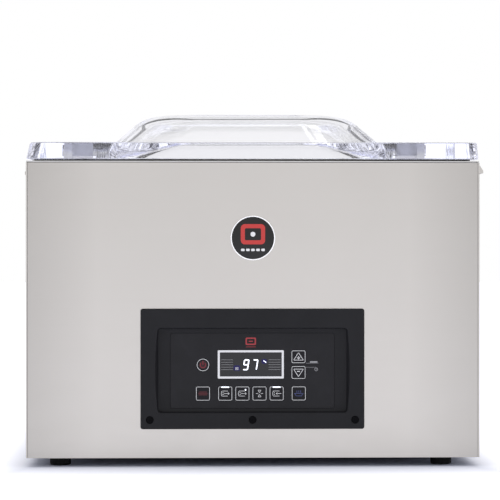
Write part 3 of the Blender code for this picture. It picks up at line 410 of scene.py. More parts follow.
def cutting_board_plastic(name, color):
    """Matt polyethylene with knife-fine marks and a little yellowing."""
    tree = Tree(name, specular=0.35)
    scratches = tree.noise(tree.position((35.0, 900.0, 900.0)), 1.0, 4.0, 0.7, 1.4)
    stain = tree.noise(tree.position(), 12.0, 4.0, 0.6, 0.7)
    yellowed = tuple(part * share for part, share in zip(color, (0.96, 0.93, 0.84)))
    tree.set("base_color", tree.mix(tree.spread(stain, 0.0, 1.0, 0.35, 0.75), color, yellowed))
    tree.set("roughness", tree.spread(scratches, 0.38, 0.58, 0.3, 0.7))
    tree.set("normal", tree.bump(scratches, 0.00003, 0.4))
    return tree.material


def woven_tape():
    """Coated glass cloth: a fine brown weave."""
    tree = Tree("woven_tape", specular=0.4)
    warp = tree.wave(tree.position(), 320.0, "X")
    weft = tree.wave(tree.position(), 320.0, "Y")
    weave = tree.calculate("MULTIPLY", warp, weft)
    heat = tree.noise(tree.position(), 30.0, 4.0, 0.6)
    tree.set("base_color", tree.mix(weave, (0.20, 0.13, 0.07), (0.46, 0.34, 0.20)))
    tree.set("roughness", tree.spread(heat, 0.35, 0.6, 0.3, 0.7))
    tree.set("normal", tree.bump(weave, 0.00008, 0.6))
    return tree.material


STEEL = (0.586, 0.560, 0.528)
# How far the air hoods stand out from the side folds
HOOD_REACH = 0.0065
MATERIALS = {
    # The front sheet's material has painted shade towards its side folds
    "steel": brushed_steel("steel_front", "x", STEEL, 0.33, painted_shade_x=CAD_HIGH.x - HOOD_REACH),
    "zinc": plain_metal("zinc_plate", (0.50, 0.51, 0.53), 0.42),
    "bright_steel": plain_metal("ground_steel", (0.66, 0.66, 0.67), 0.20, 0.2),
    "aluminium": brushed_steel("aluminium_bar", "x", (0.70, 0.71, 0.72), 0.36),
    "painted_iron": powder_coat("painted_iron", (0.05, 0.055, 0.07), 0.45),
    "brass": plain_metal("brass_fitting", (0.70, 0.50, 0.22), 0.28),
    "foot_rubber": moulded_rubber("foot_rubber", (0.0035, 0.0035, 0.003)),
    "gasket_rubber": moulded_rubber("gasket_rubber", (0.012, 0.012, 0.012)),
    "silicone": moulded_rubber("silicone_strip", (0.45, 0.09, 0.06), 0.55),
    "seal_tape": woven_tape(),
    "bezel_plastic": moulded_plastic("bezel_plastic", (0.0072, 0.0072, 0.0090), 0.50, 0.20),
    "hinge_steel": plain_metal("hinge_steel", (0.72, 0.72, 0.74), 0.38, 0.2),
    "screw_black": plain_metal("screw_black", (0.0075, 0.0075, 0.0085), 0.45),
    "rocker_plastic": gloss_lacquer("rocker_plastic", (0.010, 0.010, 0.010), 0.22),
    "badge": gloss_lacquer("badge_resin", (0.0045, 0.0045, 0.0050), 0.12),
    "keypad_film": keypad_film("keypad_film", (0.0098, 0.0096, 0.0118)),
    "display_lens": gloss_lacquer("display_lens", (0.0100, 0.0100, 0.0115), 0.20),
    "white_plastic": cutting_board_plastic("white_polyethylene", (0.78, 0.78, 0.76)),
    "circuit_board": gloss_lacquer("circuit_board", (0.01, 0.10, 0.04), 0.30),
    "clear_acrylic": clear_acrylic(),
    "sight_glass": gloss_lacquer("sight_glass", (0.35, 0.30, 0.10), 0.08),
}
KEY_FILM = keypad_film("key_film", (0.0048, 0.0046, 0.0064))
SIDE_STEEL = brushed_steel("steel_side", "y", STEEL, 0.34)
CHAMBER_STEEL = brushed_steel("steel_chamber", "x", (0.60, 0.59, 0.58), 0.27, 0.8)
WHITE_INK = ink("white_ink", (0.74, 0.74, 0.76))
GREY_INK = ink("grey_ink", (0.34, 0.34, 0.36))
RED_INK = ink("red_ink", (0.34, 0.040, 0.047))
DARK_RED_INK = ink("dark_red_ink", (0.24, 0.022, 0.034))
FAINT_RED_INK = ink("faint_red_ink", (0.026, 0.009, 0.011))
STOP_RED_INK = ink("stop_red_ink", (0.085, 0.014, 0.019))
BADGE_RED = ink("badge_red", (0.50, 0.045, 0.042), roughness=0.3)
BLUE_INK = ink("blue_ink", (0.075, 0.092, 0.24))
LIT_WHITE = ink("lit_white", (0.86, 0.90, 1.0), 1.2)
LIT_FRAME = ink("lit_frame", (0.70, 0.70, 0.73), 0.06)
LIT_BLUE = ink("lit_blue", (0.0080, 0.0060, 0.060), 0.4)
PALE_RIM = powder_coat("pale_rim", (0.84, 0.84, 0.85), 0.3)


# Shapes ---------------------------------------------------

def arc(centre, radius, start, end, steps):
    angles = [math.radians(start + (end - start) * step / steps) for step in range(steps + 1)]
    return [(centre[0] + radius * math.cos(a), centre[1] + radius * math.sin(a)) for a in angles]


def circle(centre, radius, steps=48):
    return arc(centre, radius, 0, 360, steps)[:-1]


def rounded_rectangle(low, high, radius, steps=8):
    """Points around a rectangle with round corners, anticlockwise from the right-hand side."""
    points = []
    for x, y, start in (
        (high[0] - radius, high[1] - radius, 0),
        (low[0] + radius, high[1] - radius, 90),
        (low[0] + radius, low[1] + radius, 180),
        (high[0] - radius, low[1] + radius, 270),
    ):
        points += arc((x, y), radius, start, start + 90, steps)
    return points


def centred(x, z, half_x, half_z, radius, steps=8):
    return rounded_rectangle((x - half_x, z - half_z), (x + half_x, z + half_z), radius, steps)


def loft(rings, closed=False):
    """Quads between rings of equal length. The ends are capped, or the last ring meets the first."""
    mesh = bmesh.new()
    rows = [[mesh.verts.new(point) for point in ring] for ring in rings]
    pairs = list(zip(rows, rows[1:]))
    if closed:
        pairs.append((rows[-1], rows[0]))
    else:
        mesh.faces.new(rows[0])
        mesh.faces.new(rows[-1])
    for lower, upper in pairs:
        for i in range(len(lower)):
            mesh.faces.new((lower[i - 1], lower[i], upper[i], upper[i - 1]))
    bmesh.ops.recalc_face_normals(mesh, faces=mesh.faces)
    return mesh


def turned(profile, centre, axis, steps=48):
    """A closed turned shape. profile runs from axis to axis as (radius, height).

    The height points along +Z, or along -Y when axis is y.
    """
    mesh = bmesh.new()
    rows = []
    for radius, height in profile:
        if radius == 0.0:
            rows.append([mesh.verts.new((0.0, 0.0, height))])
        else:
            rows.append([mesh.verts.new((x, y, height)) for x, y in circle((0.0, 0.0), radius, steps)])
    for lower, upper in zip(rows, rows[1:]):
        for i in range(steps):
            corners = [lower[i - 1], lower[i]] if len(lower) > 1 else [lower[0]]
            corners += [upper[i], upper[i - 1]] if len(upper) > 1 else [upper[0]]
            mesh.faces.new(corners)
    if axis == "y":
        mesh.transform(Matrix.Rotation(math.radians(90), 4, "X"))
    mesh.transform(Matrix.Translation(centre))
    bmesh.ops.recalc_face_normals(mesh, faces=mesh.faces)
    return mesh


def make_piece(name, mesh, body, slot, nodes=(), sharp=32, material=None):
    """A piece that rides on a body, has the slot's finish or another, and stands for CAD nodes."""
    data = bpy.data.meshes.new(name)
    mesh.to_mesh(data)
    mesh.free()
    data.shade_smooth()
    data.set_sharp_from_angle(angle=math.radians(sharp))
    data.materials.append(material or MATERIALS[slot])
    obj = bpy.data.objects.new(name, data)
    SCENE.collection.objects.link(obj)
    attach(obj, body)
    if nodes:
        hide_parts(*nodes)
    return obj


def cad_mesh(node):
    """The CAD node's own mesh, with its facets joined into whole faces."""
    mesh = bmesh.new()
    mesh.from_mesh(frame["nodes"][node].data)
    bmesh.ops.remove_doubles(mesh, verts=mesh.verts, dist=1e-6)
    bmesh.ops.dissolve_limit(
        mesh, angle_limit=math.radians(0.5), verts=mesh.verts, edges=mesh.edges,
        use_dissolve_boundaries=False,
    )
    return mesh


def finished(node, name, width, segments=2, material=None):
    """The CAD node's shape with its edges eased by a width, in the node's place."""
    slot = NODE_SLOT[node]
    obj = make_piece(name, cad_mesh(node), NODE_BODY[node], slot, (node,), material=material)
    if width:
        modifier = obj.modifiers.new("edges", "BEVEL")
        modifier.width = width
        modifier.segments = segments
        modifier.limit_method = "ANGLE"
        modifier.angle_limit = math.radians(30)
        modifier.harden_normals = True
        modifier.use_clamp_overlap = True


def face_centre(node):
    """The middle of a node as seen from the front."""
    low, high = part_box(node)
    return (low.x + high.x) / 2, (low.z + high.z) / 2


class Print:
    """Flat marks on a surface that faces -Y, collected into one piece."""

    def __init__(self, surface_y, thickness=INK):
        self.mesh = bmesh.new()
        self.back = surface_y - INK_GAP
        self.front = self.back - thickness

    def fill(self, loop):
        rows = [[self.mesh.verts.new((x, y, z)) for x, z in loop] for y in (self.back, self.front)]
        self.mesh.faces.new(rows[0])
        self.mesh.faces.new(rows[1])
        for i in range(len(loop)):
            self.mesh.faces.new((rows[0][i - 1], rows[0][i], rows[1][i], rows[1][i - 1]))

    def ring(self, outer, inner):
        section = ((outer, self.back), (outer, self.front), (inner, self.front), (inner, self.back))
        rows = [[self.mesh.verts.new((x, y, z)) for x, z in loop] for loop, y in section]
        for lower, upper in zip(rows, rows[1:] + rows[:1]):
            for i in range(len(outer)):
                self.mesh.faces.new((lower[i - 1], lower[i], upper[i], upper[i - 1]))

    def line(self, start, end, width):
        """A stroke with round ends."""
        angle = math.degrees(math.atan2(end[1] - start[1], end[0] - start[0]))
        round_end = arc(end, width / 2, angle - 90, angle + 90, 5)
        round_start = arc(start, width / 2, angle + 90, angle + 270, 5)
        self.fill(round_end + round_start)

    def path(self, points, width, closed=False):
        ends = points[1:] + points[:1] if closed else points[1:]
        for start, end in zip(points, ends):
            self.line(start, end, width)

    def curve(self, centre, radius, start, end, width, steps):
        """Part of a ring, with square ends."""
        outer = arc(centre, radius + width / 2, start, end, steps)
        inner = arc(centre, radius - width / 2, end, start, steps)
        self.fill(outer + inner)

    def done(self, name, material, body, slot):
        bmesh.ops.recalc_face_normals(self.mesh, faces=self.mesh.faces)
        make_piece(name, self.mesh, body, slot, material=material)


# Lid ------------------------------------------------------

LID_LOW, LID_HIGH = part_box("lid_shell")
LID_CENTRE_Y = (LID_LOW.y + LID_HIGH.y) / 2

# Slab: its upper face is smaller than its underside, and stands a little to the right
SLAB_TOP = LID_LOW.z + 0.018
SLAB_DRAFT = 0.0023
SLAB_LEAN = 0.0013
SLAB_CORNER = 0.016
SLAB_TOP_EDGE = 0.0014
SLAB_BOTTOM_EDGE = 0.0008
CORNER_STEPS = 12
EDGE_STEPS = 5

# Dome: half the flat crown's width, then its shoulder, slope and foot
SLOPE = math.radians(42)
DOME_X = -0.0023
DOME_HALF = 0.093
DOME_SHOULDER = 0.052
DOME_FILLET = 0.017
DOME_WALL = 0.0055
INNER_FILLET = 0.012
ARC_STEPS = 14
SLOPE_STEPS = 4

# The dome is less deep than wide, its wall is thicker at both sides, and its corners grow downwards
SHORTER_Y = 0.0165
SIDE_EXTRA = 0.0025
CORNER_TOP = 0.045
CORNER_GROWTH = 0.52

GASKET_INSET = 0.0080
GASKET_WIDTH = 0.0100
GASKET_LIP = 0.0006
GASKET_STEPS = 4


def lid_ring(half_x, half_y, radius, z):
    outline = rounded_rectangle(
        (-half_x, LID_CENTRE_Y - half_y), (half_x, LID_CENTRE_Y + half_y), radius, CORNER_STEPS,
    )
    return [Vector((x, y, z)) for x, y in outline]


def slab_ring(inset, z, lean=0.0):
    ring = lid_ring(LID_HIGH.x - inset, (LID_HIGH.y - LID_LOW.y) / 2 - inset, SLAB_CORNER, z)
    return [point + Vector((lean, 0.0, 0.0)) for point in ring]


def dome_rings(top_z, base_z, shoulder, fillet, side_extra):
    """Down one side of the dome: crown, shoulder, straight slope and foot fillet."""
    angles = [SLOPE * step / ARC_STEPS for step in range(ARC_STEPS + 1)]
    profile = [(DOME_HALF + shoulder * math.sin(a), top_z - shoulder * (1 - math.cos(a))) for a in angles]
    half, z = profile[-1]
    fillet_top = base_z + fillet * (1 - math.cos(SLOPE))
    base_half = half + (z - fillet_top) / math.tan(SLOPE) + fillet * math.sin(SLOPE)
    foot = [
        (base_half - fillet * math.sin(a), base_z + fillet * (1 - math.cos(a)))
        for a in reversed(angles)
    ]
    start, end = profile[-1], foot[0]
    for step in range(1, SLOPE_STEPS):
        share = step / SLOPE_STEPS
        profile.append(tuple(a + (b - a) * share for a, b in zip(start, end)))
    profile += foot
    rings = []
    for half, z in profile:
        corner = CORNER_TOP + CORNER_GROWTH * (half - DOME_HALF)
        ring = lid_ring(half + side_extra, half - SHORTER_Y, corner, z)
        rings.append([point + Vector((DOME_X, 0.0, 0.0)) for point in ring])
    return rings


def rounded_edge(inset, z, radius, start, end, lean=0.0):
    """Rings round an outer edge of the slab. Angles run from 90 (top) to -90 (underside)."""
    rings = []
    for step in range(EDGE_STEPS + 1):
        angle = math.radians(start + (end - start) * step / EDGE_STEPS)
        height = z + radius * math.sin(angle)
        rings.append(slab_ring(inset + radius * (1 - math.cos(angle)), height, lean))
    return rings


def lid():
    rings = dome_rings(LID_HIGH.z, SLAB_TOP, DOME_SHOULDER, DOME_FILLET, SIDE_EXTRA)
    rings += rounded_edge(SLAB_DRAFT, SLAB_TOP - SLAB_TOP_EDGE, SLAB_TOP_EDGE, 90, 0, SLAB_LEAN)
    rings += rounded_edge(0.0, LID_LOW.z + SLAB_BOTTOM_EDGE, SLAB_BOTTOM_EDGE, 0, -90)
    rings += reversed(dome_rings(
        LID_HIGH.z - DOME_WALL, LID_LOW.z, DOME_SHOULDER - DOME_WALL, INNER_FILLET, -SIDE_EXTRA,
    ))
    make_piece("lid_clear", loft(rings), "lid", "clear_acrylic", ("lid_shell",), 28)


def gasket():
    """A flat seal with rounded lower edges."""
    low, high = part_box("lid_gasket")
    inner = GASKET_INSET + GASKET_WIDTH
    lips = [
        (GASKET_LIP * (1 - math.cos(a)), low.z + GASKET_LIP * (1 - math.sin(a)))
        for a in (math.pi / 2 * step / GASKET_STEPS for step in range(GASKET_STEPS + 1))
    ]
    rings = [slab_ring(GASKET_INSET, high.z)]
    rings += [slab_ring(GASKET_INSET + inset, z) for inset, z in lips]
    rings += [slab_ring(inner - inset, z) for inset, z in reversed(lips)]
    rings.append(slab_ring(inner, high.z))
    make_piece("lid_seal", loft(rings, closed=True), "lid", "gasket_rubber", ("lid_gasket",))


# Feet and badge -------------------------------------------

CLEARANCE = 0.0003
FOOT_STUD = 0.003
FOOT_ROUND = 0.0007
FOOT_FLARE = 0.0016
FOOT_HOLLOW = 0.0010


def feet():
    """Rubber feet with a stud above, a rounded rim and a shallow hollow below."""
    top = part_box("base_tray")[0].z - CLEARANCE
    for depth in ("front", "rear"):
        for side in ("left", "right"):
            node = f"foot_{depth}_{side}"
            low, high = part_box(node)
            centre = ((low.x + high.x) / 2, (low.y + high.y) / 2, 0.0)
            radius = (high.x - low.x) / 2
            shoulder = radius - FOOT_ROUND
            profile = [(0.0, high.z), (FOOT_STUD, high.z), (FOOT_STUD, top), (shoulder, top)]
            profile += arc((shoulder, top - FOOT_ROUND), FOOT_ROUND, 60, 0, 2)
            profile += arc((radius - FOOT_FLARE, FOOT_FLARE), FOOT_FLARE, 0, -90, 6)
            profile += [(radius * 0.45, 0.0), (radius * 0.42, FOOT_HOLLOW), (0.0, FOOT_HOLLOW)]
            mesh = turned(profile, centre, "z")
            make_piece(f"{node}_rubber", mesh, "casing", "foot_rubber", (node,), 40)


BADGE_RIM = 0.0011
BADGE_RIM_EDGE = 0.0003
BADGE_RIM_CHAMFER = 0.0002
BADGE_DOME = 0.00025
BADGE_FACE_GAP = 0.00005
BADGE_FACE_SINK = 0.00035
BADGE_INK = 0.0002
BADGE_STEPS = 72


def badge():
    """A domed black disc in a bright rim, with a plain red and white pictogram of a sealed pouch."""
    low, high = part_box("badge_disc")
    x, z = face_centre("badge_disc")
    radius = (high.x - low.x) / 2
    inner = radius - BADGE_RIM
    back = high.y
    height = high.y - low.y
    rim_profile = [
        (inner, 0.0), (radius, 0.0), (radius, height - BADGE_RIM_EDGE), (radius - BADGE_RIM_EDGE, height),
        (inner + BADGE_RIM_CHAMFER, height), (inner, height - BADGE_RIM_EDGE),
    ]
    unit = circle((0, 0), 1.0, BADGE_STEPS)
    rings = [[Vector((x + r * c, back - h, z + r * s)) for c, s in unit] for r, h in rim_profile]
    make_piece("badge_rim", loft(rings, closed=True), "casing", "badge", (), 40, PALE_RIM)

    face_radius = inner - BADGE_FACE_GAP
    face_height = height - BADGE_FACE_SINK
    profile = [(0.0, 0.0), (face_radius, 0.0), (face_radius, face_height - BADGE_DOME)]
    steps = 6
    for step in range(1, steps):
        rest = 1 - step / steps
        profile.append((face_radius * rest, face_height - BADGE_DOME * rest ** 2))
    profile.append((0.0, face_height))
    mesh = turned(profile, (x, back, z), "y", BADGE_STEPS)
    make_piece("badge_face", mesh, "casing", "badge", ("badge_disc",), 40)

    surface = back - face_height
    pouch_z = z + 0.0040
    red = Print(surface, BADGE_INK)
    red.ring(
        centred(x, pouch_z, 0.0130, 0.0108, 0.0044), centred(x, pouch_z, 0.0086, 0.0064, 0.0014),
    )
    red.done("badge_red_mark", BADGE_RED, "casing", "badge")
    white = Print(surface, BADGE_INK)
    white.fill(circle((x, pouch_z), 0.0026, 24))
    for step in range(-2, 3):
        white.fill(centred(x + step * 0.0054, z - 0.0127, 0.0019, 0.0013, 0.0008))
    white.done("badge_white_mark", WHITE_INK, "casing", "badge")


# Keypad ---------------------------------------------------

# Widths of the keys' frame lines, of fine pictograms and of bold ones
KEY_FRAME = 0.00045
ICON = 0.00042
ICON_BOLD = 0.00050
KEY_MARGIN = 0.0001
POWER_MARGIN = 0.0003


def key_print(node):
    return Print(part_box(node)[0].y)


def framed_key(node):
    """White frame line just inside the key's edge."""
    low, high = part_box(node)
    x, z = face_centre(node)
    half_x = (high.x - low.x) / 2 - KEY_MARGIN
    half_z = (high.z - low.z) / 2 - KEY_MARGIN
    mark = key_print(node)
    mark.ring(
        centred(x, z, half_x, half_z, 0.0016),
        centred(x, z, half_x - KEY_FRAME, half_z - KEY_FRAME, 0.0011),
    )
    mark.done(f"{node}_frame", WHITE_INK, node, "keypad_film")


def pouch(mark, x, z, width, height, line):
    """A pouch seen from above, open to the right."""
    left = x - width / 2
    right = x + width / 2
    top = z + height / 2
    bottom = z - height / 2
    bulge = height * 0.28
    mark.curve((left + bulge, top - bulge), bulge, 90, 180, line, 5)
    mark.curve((left + bulge, bottom + bulge), bulge, 180, 270, line, 5)
    mark.line((left, top - bulge), (left, bottom + bulge), line)
    mark.line((left + bulge, top), (right, top), line)
    mark.line((left + bulge, bottom), (right, bottom), line)


def arrow(mark, start, end, z, head, line):
    """A level arrow from one x to another."""
    way = 1 if end > start else -1
    mark.line((start, z), (end, z), line)
    mark.line((end, z), (end - way * head, z + head * 0.8), line)
    mark.line((end, z), (end - way * head, z - head * 0.8), line)


def power_key():
    low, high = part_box("key_power")
    x, z = face_centre("key_power")
    radius = (high.x - low.x) / 2 - POWER_MARGIN
    ring = key_print("key_power")
    ring.ring(circle((x, z), radius), circle((x, z), radius - KEY_FRAME))
    ring.done("key_power_ring", WHITE_INK, "key_power", "keypad_film")
    glow = key_print("key_power")
    glow.fill(circle((x, z), 0.0045, 32))
    glow.done("key_power_glow", FAINT_RED_INK, "key_power", "keypad_film")
    symbol = Print(low.y - INK - INK_GAP)
    symbol.curve((x, z), 0.0029, 130, 410, 0.0007, 24)
    symbol.line((x, z + 0.0040), (x, z + 0.0004), 0.0008)
    symbol.done("key_power_symbol", DARK_RED_INK, "key_power", "keypad_film")


def arrow_keys():
    """A triangle on each arrow key, with a plus in the upper one and a minus in the lower."""
    half = 0.0052
    sign = 0.0013
    sign_line = 0.00085
    for node, way in (("key_up", 1), ("key_down", -1)):
        framed_key(node)
        x, z = face_centre(node)
        base = z - way * 0.0036
        tip = z + way * 0.0044
        mark = key_print(node)
        mark.path([(x - half, base), (x + half, base), (x, tip)], ICON_BOLD, closed=True)
        sign_z = z - way * 0.0012
        mark.line((x - sign, sign_z), (x + sign, sign_z), sign_line)
        if way == 1:
            mark.line((x, sign_z - sign), (x, sign_z + sign), sign_line)
        mark.done(f"{node}_symbol", WHITE_INK, node, "keypad_film")


def stop_symbol(mark, x, z):
    """Three short rows, as of a word."""
    for offset, half in ((0.0017, 0.0042), (0.0002, 0.0050), (-0.0013, 0.0046)):
        mark.fill(centred(x, z + offset, half, 0.0005, 0.0003))


def vacuum_symbol(mark, x, z):
    """Air drawn out of a pouch."""
    pouch(mark, x - 0.0008, z, 0.0068, 0.0054, ICON)
    arrow(mark, x - 0.0012, x + 0.0044, z, 0.0013, ICON)
    for offset in (0.0009, -0.0009):
        mark.line((x - 0.0030, z + offset), (x - 0.0016, z + offset), ICON)


def seal_symbol(mark, x, z):
    """Two jaws closing on a film."""
    for way in (-1, 1):
        base = z + way * 0.0036
        mark.path([(x - 0.0016, base), (x + 0.0016, base), (x, z + way * 0.0008)], ICON, closed=True)
        mark.line((x + way * 0.0016, z), (x + way * 0.0036, z), ICON)


def gas_symbol(mark, x, z):
    """Gas let into a pouch."""
    pouch(mark, x - 0.0006, z, 0.0070, 0.0054, ICON)
    arrow(mark, x + 0.0048, x - 0.0006, z, 0.0013, ICON)
    for offset in (-0.0010, 0.0010):
        mark.fill(circle((x - 0.0024, z + offset), 0.00045, 10))


def tray_symbol(mark, x, z):
    """A tray under its film, with three strokes above."""
    floor_z = z - 0.0026
    mark.path(
        [(x - 0.0042, z), (x - 0.0030, floor_z), (x + 0.0030, floor_z), (x + 0.0042, z)], ICON_BOLD,
    )
    mark.line((x - 0.0048, z), (x + 0.0048, z), ICON_BOLD)
    for step in (-1, 0, 1):
        mark.line((x + step * 0.0020, z + 0.0010), (x + step * 0.0020, z + 0.0030), ICON_BOLD)


ROW_KEYS = (
    ("key_stop", stop_symbol, STOP_RED_INK),
    ("key_vacuum", vacuum_symbol, WHITE_INK),
    ("key_vacuum_plus", vacuum_symbol, WHITE_INK),
    ("key_seal", seal_symbol, WHITE_INK),
    ("key_gas", gas_symbol, WHITE_INK),
    ("key_tray", tray_symbol, BLUE_INK),
)


def row_keys():
    for node, _, _ in ROW_KEYS:
        framed_key(node)
    for node, draw, material in ROW_KEYS:
        mark = key_print(node)
        draw(mark, *face_centre(node))
        mark.done(f"{node}_symbol", material, node, "keypad_film")


def key_lamps():
    """Lit bars at the top edge of the two running steps, and a dot on the stronger vacuum key."""
    for node in ("key_vacuum", "key_gas"):
        low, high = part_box(node)
        mark = Print(low.y - INK)
        mark.fill(centred((low.x + high.x) / 2, high.z - 0.0006, 0.0042, 0.0006, 0.0005))
        mark.done(f"{node}_lamp", LIT_WHITE, node, "keypad_film")
    low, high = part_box("key_vacuum_plus")
    mark = Print(low.y)
    mark.fill(circle((high.x - 0.0040, high.z - 0.0034), 0.0008, 16))
    mark.done("key_vacuum_plus_lamp", LIT_WHITE, "key_vacuum_plus", "keypad_film")


def overlay_marks():
    """Lines on the film between the keys, and a small generic red mark over the display."""
    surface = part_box("keypad_overlay")[0].y
    up_low, up_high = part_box("key_up")
    down_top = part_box("key_down")[1].z
    start = up_high.x + 0.0004
    mark = Print(surface)
    for z, length in ((up_low.z - 0.0002, 0.0135), (down_top - 0.0012, 0.0110)):
        mark.line((start, z), (start + length, z), 0.00025)
    mark.fill(centred(start + 0.0085, up_low.z + 0.0011, 0.0040, 0.0007, 0.0002))
    clock_x, clock_z = start + 0.0112, down_top - 0.0034
    clock = (clock_x, clock_z)
    mark.ring(circle(clock, 0.0018, 20), circle(clock, 0.0014, 20))
    mark.line(clock, (clock_x, clock_z + 0.0009), 0.0003)
    mark.line(clock, (clock_x + 0.0008, clock_z), 0.0003)
    mark.done("film_guide_lines", GREY_INK, "casing", "keypad_film")

    x = face_centre("display_window")[0]
    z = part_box("display_window")[1].z + 0.0095
    red = Print(surface)
    red.ring(centred(x, z, 0.0056, 0.0040, 0.0014), centred(x, z, 0.0041, 0.0025, 0.0006))
    red.line((x - 0.0018, z), (x + 0.0018, z), 0.0011)
    red.line((x - 0.0050, z - 0.0060), (x + 0.0050, z - 0.0060), 0.0005)
    red.done("film_red_mark", RED_INK, "casing", "keypad_film")


# Display --------------------------------------------------

SEGMENTS_OF = {"9": "abcdfg", "7": "abc"}
DIGIT_HEIGHT = 0.0104
DIGIT_WIDTH = 0.0046
STROKE = 0.00125
# How far a segment runs on past its corner
OVERLAP = STROKE * 0.12
LEAN = math.tan(math.radians(9))

DISPLAY_BORDER = 0.0023
LINE_PITCH = 0.00262


def seven_segment(mark, digit, x, z):
    """One lit digit. x is its left side and z its middle."""
    half = DIGIT_HEIGHT / 2
    ends = {
        "a": ((0, half), (DIGIT_WIDTH, half)),
        "b": ((DIGIT_WIDTH, 0), (DIGIT_WIDTH, half)),
        "c": ((DIGIT_WIDTH, -half), (DIGIT_WIDTH, 0)),
        "d": ((0, -half), (DIGIT_WIDTH, -half)),
        "f": ((0, 0), (0, half)),
        "g": ((0, 0), (DIGIT_WIDTH, 0)),
    }
    for name in SEGMENTS_OF[digit]:
        start, end = (Vector(point) for point in ends[name])
        direction = (end - start).normalized()
        start -= direction * OVERLAP
        end += direction * OVERLAP
        along = direction * STROKE / 2
        across = Vector((-direction.y, direction.x)) * STROKE / 2
        bar = [start, start + along - across, end - along - across]
        bar += [end, end - along + across, start + along + across]
        mark.fill([(x + point.x + point.y * LEAN, z + point.y) for point in bar])


def display():
    """Smoked window with a white frame, level lines at both sides and a lit reading."""
    finished("display_window", "display_lens", 0.0002, 1)
    low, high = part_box("display_window")
    x, z = face_centre("display_window")
    half_x = (high.x - low.x) / 2
    half_z = (high.z - low.z) / 2
    edge = Print(low.y)
    edge.ring(
        centred(x, z, half_x - 0.0001, half_z - 0.0001, 0.0009),
        centred(x, z, half_x - DISPLAY_BORDER, half_z - DISPLAY_BORDER, 0.0005),
    )
    edge.done("display_frame", LIT_FRAME, "casing", "display_lens")

    lines = Print(low.y)
    outer = half_x - DISPLAY_BORDER - 0.0014
    inner = 0.0190
    for row in range(5):
        level = z + LINE_PITCH * (2 - row) - 0.0003
        lines.line((x - outer, level), (x - inner, level), 0.00030)
        lines.line((x + inner, level), (x + outer, level), 0.00030)
    lines.done("display_lines", GREY_INK, "casing", "display_lens")

    digits = Print(low.y)
    seven_segment(digits, "9", x - 0.0074, z - 0.0004)
    seven_segment(digits, "7", x + 0.0021, z - 0.0004)
    digits.done("display_digits", LIT_WHITE, "casing", "display_lens")

    lamp_x, lamp_z = x - 0.0149, z - 0.0045
    tick_x, tick_z = x + 0.0150, z + 0.0030
    halo = Print(low.y, INK / 2)
    halo.fill(centred(lamp_x, lamp_z + 0.0006, 0.0036, 0.0029, 0.0018))
    halo.fill(centred(tick_x - 0.0006, tick_z + 0.0002, 0.0030, 0.0026, 0.0018))
    halo.done("display_lamp_halo", LIT_BLUE, "casing", "display_lens")
    lamp = Print(low.y - INK, INK / 2)
    lamp.ring(
        centred(lamp_x, lamp_z, 0.0016, 0.0013, 0.0004), centred(lamp_x, lamp_z, 0.0013, 0.0010, 0.0002),
    )
    for rise in (0.0006, -0.0006):
        lamp.line((lamp_x - 0.0009, lamp_z - rise), (lamp_x + 0.0009, lamp_z + rise), 0.0003)
    lamp.done("display_lamp_symbol", WHITE_INK, "casing", "display_lens")
    tick = Print(low.y - INK, INK / 2)
    tick.line((tick_x - 0.0012, tick_z + 0.0009), (tick_x + 0.0012, tick_z - 0.0009), 0.0008)
    tick.done("display_tick", LIT_WHITE, "casing", "display_lens")


# Casing, hinges and fittings ------------------------------

# Node, piece, and the width and segments of its eased edges
CASING = (
    ("front_panel", "front_sheet", 0.0004),
    ("rear_panel", "rear_sheet", 0.0003),
    ("left_side_panel", "left_sheet", 0.0004, 2, SIDE_STEEL),
    ("right_side_panel", "right_sheet", 0.0004, 2, SIDE_STEEL),
    ("chamber_tub", "chamber_deck", 0.0005, 2, CHAMBER_STEEL),
    ("base_tray", "tray", 0.0003),
    ("control_bezel", "bezel_moulding", 0.0005, 3),
    ("keypad_overlay", "keypad_sheet", 0.00015, 1),
)
FITTINGS = (
    ("hinge_shaft", "lid_shaft", 0.0005),
    ("counter_bar_holder", "counter_bar_rail", 0.0002, 1),
    ("counter_bar_silicone", "counter_bar_strip", 0.0002, 1),
    ("seal_bar", "seal_bar_body", 0.0002, 1),
    ("seal_strip", "seal_bar_tape", 0.0),
    ("filler_plate", "filler_board", 0.0015, 3),
    ("suction_cover", "suction_guard", 0.0004),
    ("power_inlet", "inlet_socket", 0.0004),
    ("switch_frame", "switch_surround", 0.0004),
    ("mains_rocker", "rocker_cap", 0.0006, 3),
    ("gas_inlet", "gas_barb", 0.0002),
)


def casing():
    for row in CASING:
        finished(*row)
    for node in frame["nodes"]:
        if node.startswith("key_"):
            finished(node, f"{node}_dome", 0.00022, material=KEY_FILM)
    for side in ("left", "middle", "right"):
        finished(f"bezel_screw_{side}", f"bezel_screw_{side}_head", 0.00012, 1)


